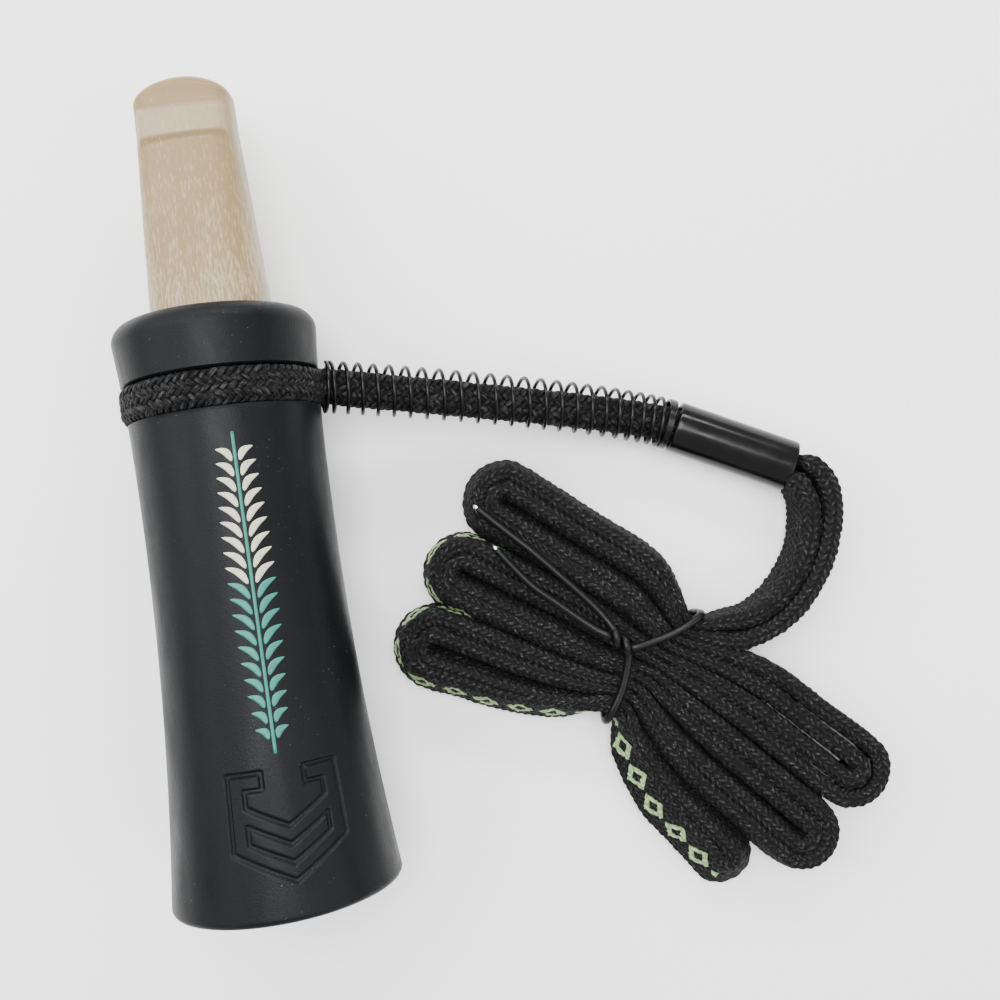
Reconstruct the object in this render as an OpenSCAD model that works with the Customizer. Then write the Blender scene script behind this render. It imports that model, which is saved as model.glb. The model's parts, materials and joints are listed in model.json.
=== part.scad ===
// Mouth call for field use: a flared rubber barrel, a push-in mouthpiece that holds the reed unit,
// and a neck lanyard folded into a tied hank. The call lies on its side on a flat surface.
// Frame: X to the lanyard side, +Y towards the mouthpiece, +Z up, Z = 0 is the surface below it.

/* [Call] */
// Overall length from the bell end to the tip of the mouthpiece
call_length = 120; // [115:0.5:125]
// Largest radius of the bell end
bell_r = 16.7; // [16:0.1:18]
// Smallest radius of the waist
waist_r = 13.65; // [13.3:0.05:13.9]
// Distance of the waist from the bell end
waist_at = 54; // [50:1:58]
// Radius of the curve that flares the collar
collar_curve_r = 200; // [180:5:260]
// Length of the barrel
barrel_length = 84.2; // [82:0.1:86]
// Rounding of the outer edge at the bell end
bell_round = 0.9; // [0.5:0.1:1.2]
// Rounding of the outer edge at the rim
rim_round = 2.8; // [1:0.1:3]

/* [Barrel inside] */
// Radius of the socket that takes the mouthpiece
socket_r = 9.6; // [9.4:0.05:9.8]
// Depth of the socket
socket_depth = 26; // [25:0.5:28]
// Radius of the sound bore
sound_bore_r = 8.2; // [7.5:0.1:8.6]
// Radius of the horn where it opens at the bell end
horn_r = 14.3; // [13:0.1:14.6]
// Length of the flared horn
horn_length = 24; // [20:1:30]
// Distance of the lanyard groove's centre from the rim
groove_from_rim = 11.8; // [11:0.1:12.5]
// Width of the lanyard groove
groove_w = 5.3; // [5.2:0.1:5.8]
// Radius of the groove's floor
groove_r = 12; // [11.8:0.1:12.1]

/* [Mouthpiece] */
// Radius of the round spigot
spigot_r = 9.3; // [9.2:0.05:9.35]
// Width of the blade where it leaves the barrel
blade_base_w = 17.8; // [17:0.1:18]
// Height of the blade where it leaves the barrel
blade_base_h = 15; // [14.5:0.1:15.4]
// Width of the blade just before its tip
blade_tip_w = 14.4; // [14:0.1:15.5]
// Height of the blade just before its tip
blade_tip_h = 9.6; // [9:0.1:10.4]
// Rounding of the blade's long edges at its base
blade_base_corner = 6.6; // [5.8:0.1:7]
// Rounding of the blade's long edges near its tip
blade_tip_corner = 4.2; // [3.6:0.1:4.6]
// Rounding of the blade's tip above and below
tip_round = 3.2; // [2.6:0.1:3.4]
// Rounding of the tip's two corners as seen from above
tip_corner = 2; // [1.6:0.1:2.4]
// Radius of the arc across the tip
tip_arc_r = 11.2; // [10:0.2:14]
// Distance of the bite ridge from the tip
ridge_from_tip = 7.4; // [6.6:0.1:8]
// Length of the bite ridge's flat top along the blade
ridge_flat = 2.2; // [1:0.1:2.6]
// Rounding of the bite ridge's edges
ridge_r = 1.4; // [1:0.1:1.6]
// Radius of the chamber around the reed unit
chamber_r = 5.8; // [5.7:0.05:6]
// Width of the air slot
air_slot_w = 9.4; // [8:0.2:10]
// Height of the air slot
air_slot_h = 3; // [2.4:0.1:3.4]

/* [Seals] */
// Radius of a seal ring's round section
seal_wire_r = 0.6; // [0.55:0.05:0.65]
// Play between a seal ring and the walls it runs on
seal_play = 0.05; // [0.02:0.01:0.08]
// Distance of the front seal from the rim
front_seal_from_rim = 4.2; // [3.5:0.1:5]
// Distance of the rear seal from the rim
rear_seal_from_rim = 19.2; // [17:0.1:21]

/* [Reed unit] */
// Length of the plug that closes the chamber
plug_length = 9.5; // [9:0.1:11]
// Length of the tone board beyond the plug
board_length = 20; // [18:0.5:21]
// Radius of the half-round tone board
board_r = 5.3; // [5:0.1:5.5]
// Radius of the curve along which the board falls away from the reed
board_curve_r = 400; // [300:10:600]
// Width of the tone channel
channel_w = 4.4; // [3.6:0.1:4.6]
// Depth of the tone channel
channel_depth = 3.2; // [2.6:0.1:3.4]
// Radius of the sound hole through the plug
sound_hole_r = 2.3; // [1.9:0.1:2.4]
// Width of the reed
reed_w = 7.4; // [7:0.1:7.6]
// Thickness of the reed
reed_t = 0.35; // [0.25:0.05:0.4]
// Length of reed that the wedge clamps
reed_clamped = 6; // [5:0.2:7]
// Height of the wedge block
wedge_h = 2.9; // [2.4:0.1:3]

/* [Lanyard loop] */
// Width of the flat braided cord
cord_w = 4.7; // [4.2:0.1:4.8]
// Thickness of the flat braided cord
cord_t = 2.3; // [2:0.1:2.4]
// Angle at which the loop leaves the barrel, below the horizontal
exit_angle = 6; // [0:1:10]
// Outside radius of the spring
spring_r = 4; // [3.8:0.05:4.1]
// Thickness of the spring wire
spring_wire = 0.6; // [0.5:0.05:0.7]
// Number of open turns of the spring
open_turns = 23; // [20:1:25]
// Number of touching turns at the ferrule end of the spring
closed_turns = 3; // [1:1:4]

/* [Ferrule] */
// Length of the ferrule
ferrule_length = 19.4; // [18:0.2:21]
// Outside radius of the ferrule
ferrule_r = 4; // [3.9:0.05:4.1]
// Radius of the ferrule's bore
ferrule_bore_r = 3.2; // [3.15:0.05:3.3]
// Length of the crimp sleeve inside the ferrule
crimp_length = 8; // [6:0.5:10]
// Outside radius of the crimp sleeve
crimp_r = 3.15; // [3.1:0.01:3.16]
// Wall of the crimp sleeve
crimp_wall = 0.35; // [0.3:0.05:0.4]

/* [Webbing] */
// Width of the webbing, which stands on its edge
webbing_w = 8; // [7.6:0.1:8.2]
// Thickness of the webbing
webbing_t = 2.8; // [2.6:0.1:3]
// Gap between the two runs of webbing beside each other
run_gap = 0.3; // [0.2:0.1:0.4]

/* [Wire tie] */
// Thickness of the plastic-coated tie wire
tie_wire = 1.2; // [1:0.1:1.3]

/* [Hidden] */

$fn = 96;
eps = 0.02;
// Gap kept between soft or glued pieces, so that each stays a solid of its own.
soft_gap = 0.05;

// Stations along the call's axis, counted from its middle and growing towards the mouthpiece.
bell_s = -call_length / 2;
tip_s = call_length / 2;
rim_s = bell_s + barrel_length;
waist_s = bell_s + waist_at;
groove_s = rim_s - groove_from_rim;
socket_s = rim_s - socket_depth;
spigot_s = socket_s + 0.3;
plug_top_s = spigot_s + plug_length;
board_top_s = plug_top_s + board_length;
chamber_top_s = board_top_s + 2;
blade_s = rim_s - 3;
blade_tip_s = tip_s - 8;

// The waist is one arc up to where the collar's tighter arc takes over without a kink.
waist_curve_r = (pow(waist_at, 2) + pow(bell_r - waist_r, 2)) / (2 * (bell_r - waist_r));
collar_s = waist_s + 12;
collar_turn = asin((collar_s - waist_s) / waist_curve_r);
collar_start_r = waist_r + waist_curve_r * (1 - cos(collar_turn));
collar_centre_s = collar_s - collar_curve_r * sin(collar_turn);
collar_centre_r = collar_start_r + collar_curve_r * cos(collar_turn);
function waist_outline_r(station) =
    waist_r + waist_curve_r - sqrt(pow(waist_curve_r, 2) - pow(station - waist_s, 2));
function collar_outline_r(station) =
    collar_centre_r - sqrt(pow(collar_curve_r, 2) - pow(station - collar_centre_s, 2));
bell_edge_r = waist_outline_r(bell_s + bell_round);
rim_edge_r = collar_outline_r(rim_s - rim_round);
horn_curve_r = (pow(horn_length, 2) + pow(horn_r - sound_bore_r, 2)) / (2 * (horn_r - sound_bore_r));

// The barrel rests on both ends, so its axis tilts down towards the narrower rim.
tilt = atan((bell_edge_r - rim_edge_r) / (barrel_length - bell_round - rim_round));
axis_height = bell_round + (bell_s + bell_round) * sin(tilt) + (bell_edge_r - bell_round) * cos(tilt);
call_dir = [0, cos(tilt), -sin(tilt)];
function on_axis(station) = [0, 0, axis_height] + station * call_dir;

seal_ring_r = (socket_r - seal_play) - seal_wire_r;
seal_floor_r = seal_ring_r - seal_wire_r - seal_play;
seal_slot_w = 2 * seal_wire_r + 0.7;
front_seal_s = rim_s - front_seal_from_rim;
rear_seal_s = rim_s - rear_seal_from_rim;

reed_bottom_s = plug_top_s - reed_clamped;
reed_length = reed_clamped + board_length;
crimp_bore_r = crimp_r - crimp_wall;

// Both ends of the cord and of the webbing are pressed to this section inside the crimp.
crimped_w = 3.9;
crimped_t = 1.8;
// Squareness of the cord's and the webbing's sections; 1 is an ellipse and 0 is a rectangle.
cord_softness = 0.7;
webbing_softness = 0.5;

// The loop lies in the groove's plane: loop_out points to the spring and loop_up is square to it.
loop_centre = on_axis(groove_s);
loop_r = groove_r + 0.2 + cord_t / 2;
plane_up = [0, sin(tilt), cos(tilt)];
loop_out = [cos(exit_angle), 0, 0] - sin(exit_angle) * plane_up;
loop_up = cross(loop_out, call_dir);
leg_lift = cord_t / 2 + soft_gap;
loop_open_angle = 22;
// How far from the call's axis the spring starts, and how far out the cord bends into its legs.
spring_from_axis = 14.8;
bend_from_axis = 13.3;
spring_start = loop_centre + spring_from_axis * loop_out;

// The ferrule lies on the surface; its axis is level and turned towards the hank.
ferrule_yaw = -27;
ferrule_dir = [cos(ferrule_yaw), sin(ferrule_yaw), 0];
ferrule_side = [-sin(ferrule_yaw), cos(ferrule_yaw), 0];
ferrule_start = [67, -0.3, ferrule_r + 0.05];

// The spring's axis leaves the barrel sloping down and straightens into the ferrule's axis.
spring_yaw = -9.5;
spring_leave = [cos(spring_yaw), sin(spring_yaw), -0.3];
spring_axis = [
    spring_start,
    spring_start + 15 * spring_leave,
    ferrule_start - 9 * ferrule_dir + [0, 0, 0.3],
    ferrule_start - 0.45 * ferrule_dir
];

// The hank's own axes: along its runs, and across them towards the lead.
hank_centre = [58.2, -36.9, 0];
hank_yaw = -49.7;
hank_dir = [cos(hank_yaw), sin(hank_yaw), 0];
hank_side = [-sin(hank_yaw), cos(hank_yaw), 0];
function on_hank(p) = hank_centre + p[0] * hank_dir + p[1] * hank_side + [0, 0, p[2]];

// Route of the pair of webbing runs from the ferrule's mouth to the tie.
lead_route = [
    [85.2, -10.2, 4.1], [86.4, -12.6, 4.1], [86.9, -16.0, 4.1], [86.1, -20.5, 4.1], [84.2, -24.8, 4.1],
    [81.2, -28.6, 4.1], [77.6, -31.4, 4.1], [74.0, -32.8, 4.1], [71.0, -33.0, 4.1]
];

// The tie presses this channel into the top and the bottom of the hank.
tie_channel_w = 3.2;
tie_channel_top_h = 0.6;
tie_channel_floor_h = 1.5;
// The hank hangs a hair's breadth above the surface, on the tie that passes below it.
hank_lift = 0.1;

// Each lobe of the hank as discs [along, across, radius], from the tie out to its fold.
lobes = [
    [[0, 6.4, 3.4], [-14, 9.2, 5.9], [-34.2, 3.8, 6.2]],
    [[0, 0, 3.4], [-15, -3.8, 5.7], [-32, -10.2, 5.3]],
    [[0, -6.4, 3.4], [-14, -14.8, 5.7], [-28.4, -22, 4.8]],
    [[0, 4.5, 3.4], [15, 7, 5.9], [33.5, 8.2, 6.2]],
    [[0, -1.5, 3.4], [15, -4.6, 5.6], [33.8, -4.6, 6.2]],
    [[0, -7.2, 2.6], [15, -15, 3.6], [30.4, -15.4, 3.2]]
];

// Route of the tie wire, in the hank's axes: in along the top, round the runs, and out again.
tie_tail = [[-37.4, 0.2, 8.9], [-32, 0.5, 8.8], [-26, 0.9, 8.8], [-20, 1.0, 8.8], [-14, 0.7, 8.9],
    [-8.7, 0.6, 9.1]];
tie_turn = [
    [-5, 0.5, 9.3], [-3.2, 2.8, 9.1], [-1.5, 6, 8.9], [-0.4, 9.4, 8.6], [0, 11, 7.4], [0, 11, 4.4],
    [0, 10.6, 1.5], [0, 9.2, 0.75], [0, 0, 0.75], [0, -9.2, 0.75], [0, -10.6, 1.5], [0, -11, 4.4],
    [0, -11, 7.4], [-0.4, -9.4, 8.6], [-1.5, -6, 8.9], [-3.4, -3, 9.1], [-5, -0.95, 9.3]
];
tie_end = [[-8.7, -1.3, 9.1], [-13, -1.8, 8.9], [-18, -2.5, 8.8], [-22.5, -3, 8.8], [-27, -2.8, 8.8],
    [-31, -2.4, 8.9]];

// ---- curves and swept solids ----

function unit(v) = v / norm(v);
function bezier(p, t) =
    pow(1 - t, 3) * p[0] + 3 * t * pow(1 - t, 2) * p[1] + 3 * t * t * (1 - t) * p[2] + pow(t, 3) * p[3];
function bezier_dir(p, t) = unit(
    pow(1 - t, 2) * (p[1] - p[0]) + 2 * t * (1 - t) * (p[2] - p[1]) + t * t * (p[3] - p[2]));

// A smooth curve through the points, with the given number of steps between each pair.
function through(p, i, t) =
    let (a = p[max(i - 1, 0)], b = p[i], c = p[i + 1], d = p[min(i + 2, len(p) - 1)])
    0.5 * (2 * b + (c - a) * t + (2 * a - 5 * b + 4 * c - d) * t * t
        + (3 * b - a - 3 * c + d) * pow(t, 3));
function smooth(p, steps) = concat(
    [for (i = [0:len(p) - 2]) for (k = [0:steps - 1]) through(p, i, k / steps)], [p[len(p) - 1]]);
function directions(p) = [for (i = [0:len(p) - 1])
    unit(p[min(i + 1, len(p) - 1)] - p[max(i - 1, 0)])];

// Side vectors carried along a curve without twisting.
function square_to(v, d) = unit(v - (v * d) * d);
function carried_sides(dirs, first) = [
    for (i = 0, s = square_to(first, dirs[0]); i < len(dirs);
        i = i + 1, s = i < len(dirs) ? square_to(s, dirs[i]) : s) s];

// One ring of a swept solid; a smaller softness makes the section squarer.
function bulge(c, softness) = sign(c) * pow(abs(c), softness);
function ring(centre, side, up, half_side, half_up, softness, sides) = [
    for (k = [0:sides - 1]) let (angle = (k + 0.5) * 360 / sides)
        centre + side * half_side * bulge(cos(angle), softness)
            + up * half_up * bulge(sin(angle), softness)];

module sweep(rings) {
    count = len(rings);
    sides = len(rings[0]);
    walls = [for (i = [0:count - 2]) for (j = [0:sides - 1])
        let (a = i * sides + j, b = i * sides + (j + 1) % sides)
        each [[a, a + sides, b], [b, a + sides, b + sides]]];
    start_cap = [for (j = [0:sides - 1]) j];
    end_cap = [for (j = [sides - 1:-1:0]) (count - 1) * sides + j];
    polyhedron([for (r = rings) each r], concat(walls, [start_cap, end_cap]), convexity = 10);
}

// Places a shape drawn along +Z, with its zero at mid-length and +Y downwards, on the call's axis.
module along_call() {
    translate([0, 0, axis_height]) rotate([-90 - tilt, 0, 0]) children();
}

module along_ferrule(start) {
    translate(ferrule_start + start * ferrule_dir) rotate([0, 90, ferrule_yaw]) children();
}

// ---- the call ----

// Cuts the square outer corner of a lathe profile down to a rounding; way is 1 at an upper edge.
module edge_cutter(radius, station, rounding, way) {
    difference() {
        translate([radius - rounding, way > 0 ? station - rounding : station - 1])
            square([rounding + 1, rounding + 1]);
        translate([radius - rounding, station - way * rounding]) circle(rounding);
    }
}

module barrel_outline() {
    difference() {
        translate([0, bell_s]) square([bell_r + 2, barrel_length]);
        difference() {
            translate([waist_r + waist_curve_r, waist_s]) circle(waist_curve_r, $fn = 720);
            translate([0, collar_s]) square([2 * waist_curve_r, waist_curve_r]);
        }
        difference() {
            translate([collar_centre_r, collar_centre_s]) circle(collar_curve_r, $fn = 720);
            translate([0, collar_s - collar_curve_r]) square([2 * collar_curve_r, collar_curve_r]);
        }
        edge_cutter(bell_edge_r, bell_s, bell_round, -1);
        edge_cutter(rim_edge_r, rim_s, rim_round, 1);
        translate([groove_r, groove_s - groove_w / 2]) square([bell_r, groove_w]);
    }
}

module barrel_hollow() {
    translate([0, socket_s]) square([socket_r, socket_depth + 1]);
    translate([0, bell_s - 1]) square([sound_bore_r, barrel_length]);
    difference() {
        translate([0, bell_s - eps]) square([horn_r, horn_length + eps]);
        translate([sound_bore_r + horn_curve_r, bell_s + horn_length])
            circle(horn_curve_r, $fn = 360);
    }
}

module barrel() {
    color("#1d1e20") along_call() rotate_extrude() difference() {
        barrel_outline();
        barrel_hollow();
    }
}

// Four short posts at the corners of a blade section, to be joined by a hull.
module blade_posts(station, width, height, corner_r) {
    for (x = [-1, 1], y = [-1, 1])
        translate([x * (width / 2 - corner_r), y * (height / 2 - corner_r), station])
            cylinder(h = 0.1, r = corner_r, $fn = 32);
}

// Flattened balls along the arc of the tip, above and below, to be joined by a hull.
module blade_tip_balls() {
    arc_r = tip_arc_r - tip_corner;
    for (share = [-1:0.5:1], y = [-1, 1]) {
        x = share * (blade_tip_w / 2 - tip_corner);
        station = tip_s - tip_corner - arc_r + sqrt(arc_r * arc_r - x * x);
        translate([x, y * (blade_tip_h / 2 - tip_round - 0.4), station])
            scale([tip_corner, tip_round, tip_corner]) sphere(1, $fn = 32);
    }
}

module bite_ridge(way) {
    hull() for (x = [-1, 1], end = [-1, 1])
        translate([x * (blade_tip_w / 2 - ridge_r - 0.6), way * (blade_tip_h / 2 - ridge_r + 0.5),
            tip_s - ridge_from_tip + end * ridge_flat / 2])
            sphere(ridge_r, $fn = 24);
}

module blade() {
    hull() {
        blade_posts(blade_s, blade_base_w, blade_base_h, blade_base_corner);
        blade_posts(blade_tip_s, blade_tip_w, blade_tip_h, blade_tip_corner);
    }
    hull() {
        blade_posts(blade_tip_s, blade_tip_w, blade_tip_h, blade_tip_corner);
        blade_tip_balls();
    }
    for (way = [-1, 1]) bite_ridge(way);
}

module spigot() {
    rotate_extrude() difference() {
        translate([0, spigot_s]) square([spigot_r, rim_s - spigot_s - 1]);
        for (station = [front_seal_s, rear_seal_s])
            translate([seal_floor_r, station - seal_slot_w / 2]) square([spigot_r, seal_slot_w]);
    }
}

module mouthpiece() {
    color("#bca98f") along_call() difference() {
        union() {
            spigot();
            blade();
        }
        translate([0, 0, spigot_s - 1]) cylinder(h = chamber_top_s - spigot_s + 1, r = chamber_r);
        translate([-air_slot_w / 2, -air_slot_h / 2, chamber_top_s - 1])
            cube([air_slot_w, air_slot_h, call_length]);
    }
}

module seal_ring(station) {
    color("#151515") along_call() translate([0, 0, station])
        rotate_extrude() translate([seal_ring_r, 0]) circle(seal_wire_r);
}

module front_seal_ring() seal_ring(front_seal_s);
module rear_seal_ring() seal_ring(rear_seal_s);

// The reed lies on the flat side of the board, which faces up and falls away towards the tip.
module tone_board() {
    channel_start = reed_bottom_s + reed_clamped - 1;
    color("#e8e4d6") along_call() difference() {
        union() {
            translate([0, 0, spigot_s]) cylinder(h = plug_length, r = chamber_r - soft_gap);
            intersection() {
                translate([0, 0, plug_top_s - 0.5]) cylinder(h = board_length + 0.5, r = board_r);
                translate([-board_r, board_curve_r, plug_top_s - 1]) rotate([0, 90, 0])
                    cylinder(h = 2 * board_r, r = board_curve_r, $fn = 720);
            }
        }
        translate([-reed_w / 2 - 0.2, -wedge_h - 1, reed_bottom_s - 0.2])
            cube([reed_w + 0.4, wedge_h + 1, plug_length]);
        translate([-channel_w / 2, -0.5, channel_start])
            cube([channel_w, channel_depth + 0.5, board_length - 1]);
        translate([0, sound_hole_r + 0.4, spigot_s - 1]) cylinder(h = plug_length, r = sound_hole_r);
    }
}

module reed() {
    color("#f2f0e6") along_call()
        translate([-reed_w / 2, -soft_gap - reed_t, reed_bottom_s]) cube([reed_w, reed_t, reed_length]);
}

module reed_wedge() {
    color("#a9814f") along_call()
        translate([-reed_w / 2, -2 * soft_gap - reed_t - wedge_h, reed_bottom_s])
            cube([reed_w, wedge_h, reed_clamped]);
}

// ---- the lanyard's loop, spring and ferrule ----

function spring_side(t) = let (d = bezier_dir(spring_axis, t)) unit([-d[1], d[0], 0]);
function spring_up(t) = cross(bezier_dir(spring_axis, t), spring_side(t));

// One leg's rings from the crimp to the barrel; way is 1 for the upper leg.
function leg_rings(way) = concat(
    [for (x = [ferrule_length / 2 - 1, 3.5, 0.2])
        ring(ferrule_start + x * ferrule_dir + [0, 0, way * (crimped_t / 2 + soft_gap)],
            ferrule_side, [0, 0, 1], crimped_w / 2, crimped_t / 2, cord_softness, 10)],
    [for (t = [0.96:-0.08:0.08])
        ring(bezier(spring_axis, t) + way * leg_lift * spring_up(t),
            spring_side(t), spring_up(t), cord_w / 2, cord_t / 2, cord_softness, 10)]);

// The bend from the leg into the groove, on the upper or lower side.
function loop_point(angle) = loop_centre + loop_r * (cos(angle) * loop_out + sin(angle) * loop_up);
function bend_point(way, t) = let (
    start = bezier(spring_axis, 0.01) + way * leg_lift * spring_up(0.01),
    corner = loop_centre + bend_from_axis * loop_out + way * leg_lift * loop_up)
    (1 - t) * (1 - t) * start + 2 * t * (1 - t) * corner + t * t * loop_point(way * loop_open_angle);
function bend_points(way) = [for (t = [0, 0.25, 0.5, 0.75]) bend_point(way, t)];
function groove_points() = [for (k = [0:24])
    loop_point(loop_open_angle + k * (360 - 2 * loop_open_angle) / 24)];
function reversed(list) = [for (i = [len(list) - 1:-1:0]) list[i]];

module loop_cord() {
    turn = concat(bend_points(1), groove_points(), reversed(bend_points(-1)));
    turn_dirs = directions(turn);
    turn_rings = [for (i = [0:len(turn) - 1])
        ring(turn[i], call_dir, cross(call_dir, turn_dirs[i]),
            cord_w / 2, cord_t / 2, cord_softness, 10)];
    lower_leg = [for (rings = reversed(leg_rings(-1))) [for (k = [0:9]) rings[(14 - k) % 10]]];
    color("#161616") sweep(concat(leg_rings(1), turn_rings, lower_leg));
}

// Turn numbers grow along the spring; both ends are closed, with the turns touching.
spring_turns = 1 + open_turns + closed_turns;
closed_pitch = spring_wire * 1.05;
spring_run = norm(spring_axis[3] - spring_axis[0]);
function spring_place(turn) =
    turn < 1 ? closed_pitch * turn / spring_run
    : turn > 1 + open_turns ? 1 - (spring_turns - turn) * closed_pitch / spring_run
    : let (first = closed_pitch / spring_run, last = 1 - closed_turns * closed_pitch / spring_run)
        first + (last - first) * (turn - 1) / open_turns;

module loop_spring() {
    steps = 10;
    coil_r = spring_r - spring_wire / 2;
    rings = [for (k = [0:spring_turns * steps]) let (
        t = spring_place(k / steps),
        angle = 360 * k / steps,
        out = cos(angle) * spring_side(t) + sin(angle) * spring_up(t))
        ring(bezier(spring_axis, t) + coil_r * out, out, bezier_dir(spring_axis, t),
            spring_wire / 2, spring_wire / 2, 1, 6)];
    color("#202020") sweep(rings);
}

module ferrule() {
    rounding = 0.3;
    color("#0f0f10") along_ferrule(0) rotate_extrude() {
        translate([ferrule_bore_r, 0]) square([ferrule_r - rounding - ferrule_bore_r, ferrule_length]);
        translate([ferrule_bore_r, rounding])
            square([ferrule_r - ferrule_bore_r, ferrule_length - 2 * rounding]);
        for (end = [rounding, ferrule_length - rounding])
            translate([ferrule_r - rounding, end]) circle(rounding);
    }
}

module splice_crimp() {
    color("#b9bcc0") along_ferrule((ferrule_length - crimp_length) / 2) difference() {
        cylinder(h = crimp_length, r = crimp_r);
        translate([0, 0, -1]) cylinder(h = crimp_length + 2, r = crimp_bore_r);
    }
}

// ---- the webbing and its tie ----

// The runs start squeezed in the crimp and reach their full size outside the mouth.
module webbing_lead(way) {
    spacing = (webbing_t + run_gap) / 2;
    inside = [for (x = [ferrule_length / 2 + 0.5, ferrule_length * 0.75, ferrule_length - 0.3])
        ring(ferrule_start + x * ferrule_dir + way * (crimped_t / 2 + 2 * soft_gap) * ferrule_side,
            ferrule_side, [0, 0, 1], crimped_t / 2, crimped_w / 2, cord_softness, 10)];
    path = smooth(lead_route, 3);
    dirs = directions(path);
    outside = [for (i = [1:len(path) - 1]) let (
        side = unit([-dirs[i][1], dirs[i][0], 0]),
        growth = min(1, 0.55 + 0.09 * i))
        ring(path[i] + way * spacing * growth * side, side, [0, 0, 1],
            webbing_t / 2 * growth, webbing_w / 2 * growth, webbing_softness, 10)];
    color("#171717") sweep(concat(inside, outside));
}

module webbing_lead_outer() webbing_lead(1);
module webbing_lead_inner() webbing_lead(-1);

module lobe_outline(discs) {
    for (i = [0:len(discs) - 2]) hull() for (disc = [discs[i], discs[i + 1]])
        translate([disc[0], disc[1]]) circle(disc[2], $fn = 24);
}

module webbing_hank() {
    color("#171717") translate(hank_centre) rotate([0, 0, hank_yaw]) difference() {
        translate([0, 0, hank_lift]) linear_extrude(webbing_w) for (discs = lobes) lobe_outline(discs);
        translate([-tie_channel_w / 2, -20, -1])
            cube([tie_channel_w, 40, 1 + hank_lift + tie_channel_floor_h]);
        translate([-tie_channel_w / 2, -20, hank_lift + webbing_w - tie_channel_top_h])
            cube([tie_channel_w, 40, 1 + tie_channel_top_h]);
    }
}

module wire_tie() {
    route = [for (p = concat(tie_tail, tie_turn, tie_end)) on_hank(p)];
    path = smooth(route, 2);
    dirs = directions(path);
    sides = carried_sides(dirs, [0, 0, 1]);
    color("#121212") sweep([for (i = [0:len(path) - 1])
        ring(path[i], sides[i], cross(dirs[i], sides[i]), tie_wire / 2, tie_wire / 2, 1, 8)]);
}

barrel();
mouthpiece();
tone_board();
reed();
reed_wedge();
front_seal_ring();
rear_seal_ring();
loop_cord();
loop_spring();
ferrule();
splice_crimp();
webbing_lead_outer();
webbing_lead_inner();
webbing_hank();
wire_tie();
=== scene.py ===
import json
import math

import bmesh
import bpy
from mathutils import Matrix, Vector
import numpy as np


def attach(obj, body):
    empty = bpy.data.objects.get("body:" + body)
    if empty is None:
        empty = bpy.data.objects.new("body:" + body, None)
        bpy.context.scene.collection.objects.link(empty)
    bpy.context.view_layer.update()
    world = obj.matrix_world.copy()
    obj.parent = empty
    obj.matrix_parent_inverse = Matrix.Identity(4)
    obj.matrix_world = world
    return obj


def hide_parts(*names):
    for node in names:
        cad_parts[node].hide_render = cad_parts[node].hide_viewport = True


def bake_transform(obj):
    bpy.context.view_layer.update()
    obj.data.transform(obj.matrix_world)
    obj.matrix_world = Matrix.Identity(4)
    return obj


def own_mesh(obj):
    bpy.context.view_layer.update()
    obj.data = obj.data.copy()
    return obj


# The looks of a mouth call with its lanyard. Metres throughout, in the frame of the CAD model.

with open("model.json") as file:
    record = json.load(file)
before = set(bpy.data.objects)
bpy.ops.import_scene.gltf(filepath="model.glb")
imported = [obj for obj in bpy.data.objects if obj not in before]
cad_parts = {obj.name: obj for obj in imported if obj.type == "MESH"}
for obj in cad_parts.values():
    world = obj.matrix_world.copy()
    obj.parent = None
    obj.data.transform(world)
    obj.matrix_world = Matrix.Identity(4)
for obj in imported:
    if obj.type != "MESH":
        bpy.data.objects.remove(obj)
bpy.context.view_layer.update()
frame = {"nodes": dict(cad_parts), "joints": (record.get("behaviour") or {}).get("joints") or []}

nodes = frame["nodes"]
joints = {joint["name"]: joint for joint in frame["joints"]}

# ---- dimensions shared with the CAD model ----

CALL_LENGTH = 0.120
BELL_R = 0.0167
WAIST_R = 0.01365
WAIST_AT = 0.054
COLLAR_CURVE_R = 0.2
BARREL_LENGTH = 0.0842
BELL_ROUND = 0.0009
RIM_ROUND = 0.0028
SOCKET_R = 0.0096
SOCKET_DEPTH = 0.026
BORE_R = 0.0082
HORN_R = 0.0143
HORN_LENGTH = 0.024
GROOVE_FROM_RIM = 0.0118
GROOVE_W = 0.0053
GROOVE_R = 0.012
SPIGOT_R = 0.0093
CHAMBER_R = 0.0058
SEAL_WIRE_R = 0.0006
SEAL_SLOT_W = 0.0019
SEAL_FLOOR_R = 0.0083
SEAL_RING_R = 0.00895
CORD_T = 0.0023
SPRING_R = 0.004
SPRING_WIRE = 0.0006
OPEN_TURNS = 23
CLOSED_TURNS = 3
TURNS = 1 + OPEN_TURNS + CLOSED_TURNS
FERRULE_LENGTH = 0.0194
FERRULE_R = 0.004
FERRULE_BORE_R = 0.0032
WEBBING_W = 0.008
WEBBING_T = 0.0028
TIE_WIRE = 0.0012

BELL_S = -CALL_LENGTH / 2
TIP_S = CALL_LENGTH / 2
RIM_S = BELL_S + BARREL_LENGTH
WAIST_S = BELL_S + WAIST_AT
GROOVE_S = RIM_S - GROOVE_FROM_RIM
SPIGOT_S = RIM_S - SOCKET_DEPTH + 0.0003
FRONT_SEAL_S = RIM_S - 0.0042
REAR_SEAL_S = RIM_S - 0.0192
COLLAR_S = WAIST_S + 0.012
CHAMBER_TOP_S = SPIGOT_S + 0.0315
BLADE_S = RIM_S - 0.003

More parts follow.
